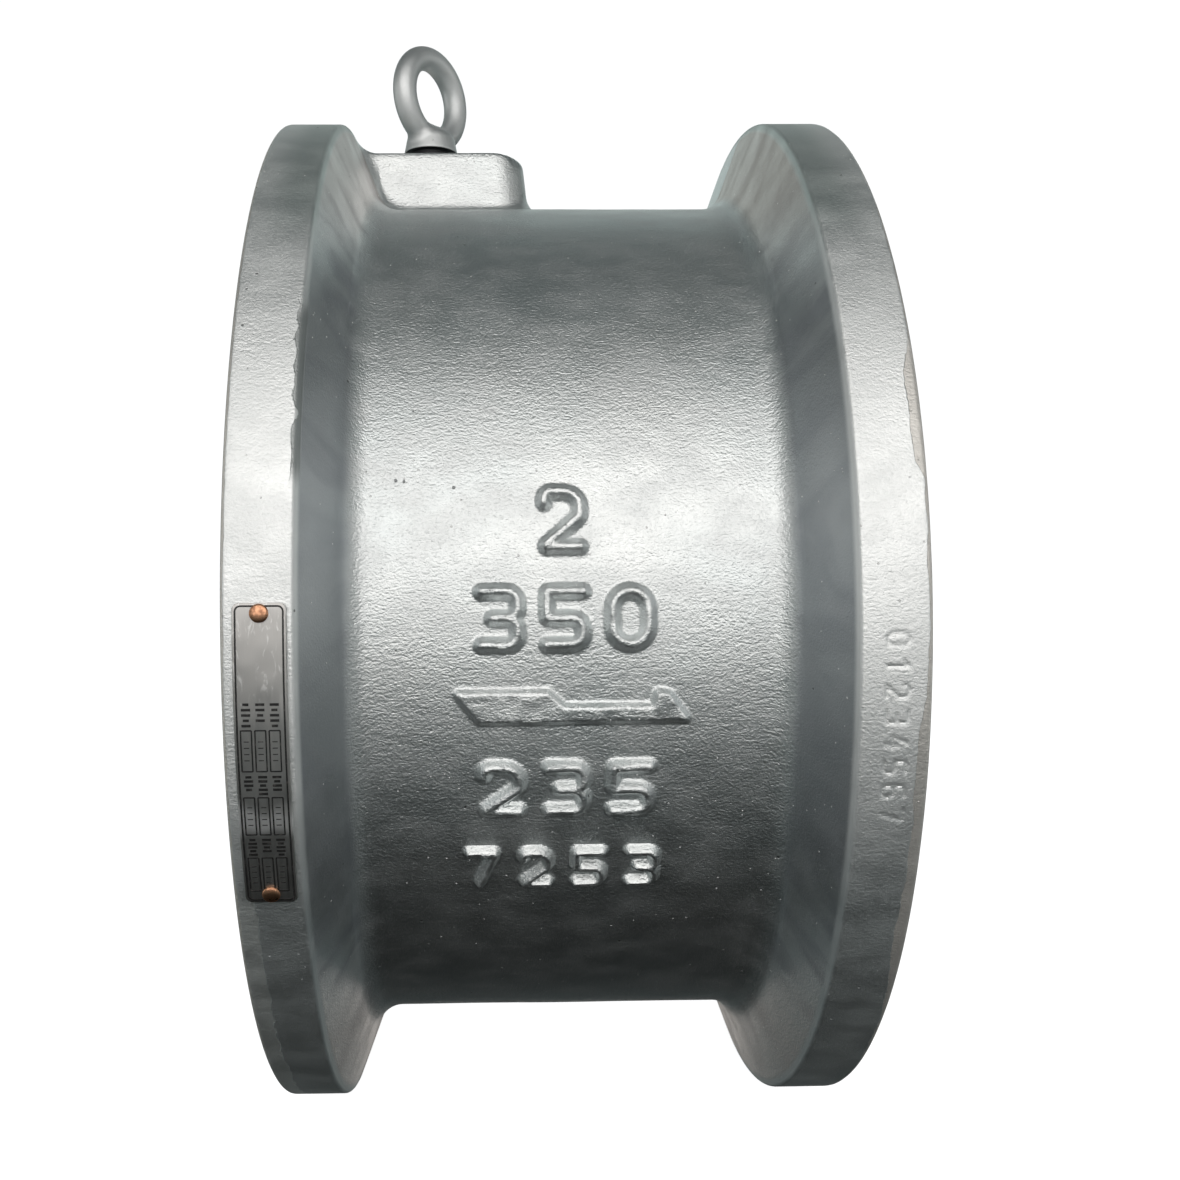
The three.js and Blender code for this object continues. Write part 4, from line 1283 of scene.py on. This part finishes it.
def cast_stainless():
    """Shot-blasted stainless, with its seat face ground."""
    finish = Finish("cast_stainless", metallic=1.0)
    blast = finish.noise(0.9, 3.0)
    cloud = finish.noise(26, 3.0)
    ground = finish.axes()[0].step((PLATE_FRONT_X + 0.2) * MM, (PLATE_FRONT_X + 0.05) * MM)
    base = finish.mix(cloud.step(0.3, 0.7), (0.60, 0.595, 0.58, 1), (0.74, 0.735, 0.715, 1))
    finish.put(
        base_color=base.tinted(ground, (0.80, 0.79, 0.77, 1)),
        roughness=blast.step(0.3, 0.7, 0.42, 0.56) - ground * 0.22,
        normal=finish.bump((finish.noise(7, 2.0), 0.25), (blast * (1.0 - ground), 0.12)),
    )
    return finish.data


def drawn_wire():
    """Spring wire with the dark sheen and fine scratches that coiling leaves."""
    finish = Finish("spring_wire", metallic=1.0)
    cloud = finish.noise(5, 3.0)
    finish.put(
        base_color=finish.mix(cloud, (0.56, 0.57, 0.58, 1), (0.70, 0.70, 0.71, 1)),
        roughness=cloud.step(0.3, 0.7, 0.24, 0.34),
        normal=finish.bump((finish.noise((0.3, 0.3, 3), 2.0), 0.015)),
    )
    return finish.data


def plug_steel():
    finish = Finish("plug_steel", metallic=1.0)
    oxide = finish.noise(2.2, 4.0)
    finish.put(
        base_color=finish.mix(oxide.step(0.35, 0.7), (0.16, 0.16, 0.165, 1), (0.30, 0.295, 0.285, 1)),
        roughness=oxide.step(0.3, 0.7, 0.38, 0.55),
        normal=finish.bump((oxide, 0.04)),
    )
    return finish.data


def rivet_copper():
    finish = Finish("rivet_copper", metallic=1.0)
    tarnish = finish.noise(0.9, 3.0)
    finish.put(
        base_color=finish.mix(tarnish.step(0.35, 0.75), (0.78, 0.42, 0.25, 1), (0.40, 0.20, 0.12, 1)),
        roughness=tarnish.step(0.3, 0.8, 0.27, 0.48),
        normal=finish.bump((tarnish, 0.04)),
    )
    return finish.data


def black_enamel():
    finish = Finish("black_enamel")
    worn = finish.noise(1.1, 3.0)
    finish.put(
        base_color=finish.mix(worn.step(0.55, 0.8), grey(0.016), grey(0.09, 0.05)),
        roughness=worn.step(0.3, 0.8, 0.35, 0.6),
    )
    return finish.data


def nameplate_metal():
    """Satin aluminium sheet, scuffed and smeared near its top end, with a painted highlight across its
    middle.
    """
    finish = Finish("nameplate_metal", metallic=1.0)
    z = finish.axes()[2]
    brushed = finish.noise((0.25, 9, 9), 3.0)
    cloud = finish.noise((9, 12, 12), 1.0)
    scuff = finish.noise((1.6, 5, 5), 4.0, distortion=1.2).step(0.55, 0.72) * z.step(-0.034, -0.010)
    # A painted highlight: a pale band across its middle boxes.
    painted_highlight_band = abs(z.shaken(cloud, 0.012) + 0.0500).step(0.0050, 0.0012)
    base = finish.mix(cloud, (0.44, 0.435, 0.42, 1), (0.58, 0.575, 0.56, 1))
    base = base.tinted(painted_highlight_band * 0.85, (1.0, 1.0, 1.0, 1))
    finish.put(
        base_color=base.tinted(scuff, (0.80, 0.80, 0.79, 1)),
        roughness=brushed.step(0.3, 0.7, 0.36, 0.44) + scuff * 0.1 + painted_highlight_band * 0.1,
        normal=finish.bump((cloud, 0.35), (brushed + scuff, 0.012)),
    )
    return finish.data


def all_pieces():
    around_pin = turned_steel("ground_stainless", (0.80, 0.795, 0.78, 1), 0.25, 0.2, around_x=False)
    valve_casting(
        body_paint(),
        turned_steel("turned_gasket_face", (0.80, 0.79, 0.77, 1), 1.6, 0.4),
        turned_steel("turned_bore", (0.66, 0.65, 0.63, 1), 1.6, 0.4),
    )
    seat_facing(turned_steel("seat_alloy", (0.74, 0.73, 0.70, 1), 0.3, 0.2))
    plates(cast_stainless())
    pins(around_pin)
    bearings(around_pin)
    pin_plugs(plug_steel())
    springs(drawn_wire())
    eyebolt(eyebolt_paint())
    nameplate(nameplate_metal(), black_enamel())
    nameplate_rivets(rivet_copper())


# ---------- Camera, light and backdrop ----------
def scene_object(name, data, place):
    piece = bpy.data.objects.new(name, data)
    piece.matrix_world = place
    bpy.context.scene.collection.objects.link(piece)
    return piece


def camera():
    """A camera at the front, close to the object, tipped a little up and to the right."""
    data = bpy.data.cameras.new("camera")
    data.sensor_width = 36
    data.lens = CAMERA_LENS
    data.shift_x, data.shift_y = CAMERA_SHIFT
    data.clip_start = 0.01
    right, up, roll = CAMERA_TURNS
    place = Matrix.Translation(Vector(CAMERA_PLACE) * MM)
    for angle, axis in ((-right, "Z"), (90 + up, "X"), (roll, "Z")):
        place = place @ Matrix.Rotation(math.radians(angle), 4, axis)
    bpy.context.scene.camera = scene_object("camera", data, place)


def softbox(name, turn, elevation, distance, size, power, colour):
    """An area light that looks at the object's middle. Turn 0 is in front, and 90 is at the outlet."""
    data = bpy.data.lights.new(name, "AREA")
    data.shape = "RECTANGLE"
    data.size, data.size_y = size
    data.energy = power
    data.color = colour
    turn, elevation = math.radians(turn), math.radians(elevation)
    level = math.cos(elevation) * distance
    place = Vector((level * math.sin(turn), -level * math.cos(turn), math.sin(elevation) * distance))
    scene_object(name, data, Matrix.Translation(place) @ place.to_track_quat("Z", "Y").to_matrix().to_4x4())


def lights():
    softbox("front_softbox", 0, 20.5, 1.5, (2.7, 1.56), 19.8, (1.0, 0.955, 0.93))
    softbox("outlet_softbox", 85, 6, 2.2, (1.7, 1.8), 6.4, (1.0, 0.98, 0.95))
    softbox("inlet_softbox", 275, 6, 2.2, (1.7, 1.8), 6.4, (1.0, 0.98, 0.95))
    softbox("back_softbox", 180, 32, 2.2, (3.0, 1.4), 8.5, (0.88, 0.99, 0.96))
    softbox("low_softbox", 180, -22, 2.2, (2.4, 0.5), 3.0, (1.0, 0.90, 0.84))


def world():
    """Grey studio walls, dimmer below the object."""
    data = bpy.data.worlds.new("studio")
    data.use_nodes = True
    nodes, links = data.node_tree.nodes, data.node_tree.links
    direction = nodes.new("ShaderNodeTexCoord").outputs["Generated"]
    height = nodes.new("ShaderNodeSeparateXYZ")
    links.new(direction, height.inputs[0])
    share = nodes.new("ShaderNodeMapRange")
    share.inputs["From Min"].default_value = -1
    links.new(height.outputs[2], share.inputs["Value"])
    ramp = nodes.new("ShaderNodeValToRGB")
    ramp.color_ramp.interpolation = "EASE"
    while len(ramp.color_ramp.elements) < len(WALL_BRIGHTNESS):
        ramp.color_ramp.elements.new(1)
    for element, (place, strength) in zip(ramp.color_ramp.elements, WALL_BRIGHTNESS):
        element.position = (place + 1) / 2
        element.color = grey(strength)
    links.new(share.outputs[0], ramp.inputs[0])
    background = nodes["Background"]
    background.inputs["Color"].default_value = (0.84, 0.99, 1.0, 1)
    links.new(ramp.outputs[0], background.inputs["Strength"])
    bpy.context.scene.world = data


def backdrop():
    """A pale floor that curves up into a wall all round, out of the object's reflections."""
    floor = -RIM_RADIUS - 0.6
    flat, rise = 1900, 1500
    turn = np.linspace(0, math.pi / 2, 19)
    outer = [(flat + rise * math.sin(a), floor + rise * (1 - math.cos(a))) for a in turn]
    outer += [(flat + rise, floor + rise + 1500)]
    inner = [(radius + 10, z - 10) for radius, z in outer[::-1]]
    outline = [(0, floor), (300, floor), (900, floor), *outer, *inner, (900, floor - 10), (0, floor - 10)]
    piece = new_object("backdrop", turned(outline, sides=96))
    finish = Finish("pale_floor", roughness=0.9, base_color=grey(0.86), emission_color=grey(1.0))
    finish.put(emission_strength=0.9)
    piece.data.materials.append(finish.data)
    piece.visible_glossy = False
    piece.visible_diffuse = False
    piece.visible_shadow = False


camera()
all_pieces()
lights()
world()
backdrop()
bpy.context.scene.view_settings.view_transform = "Standard"
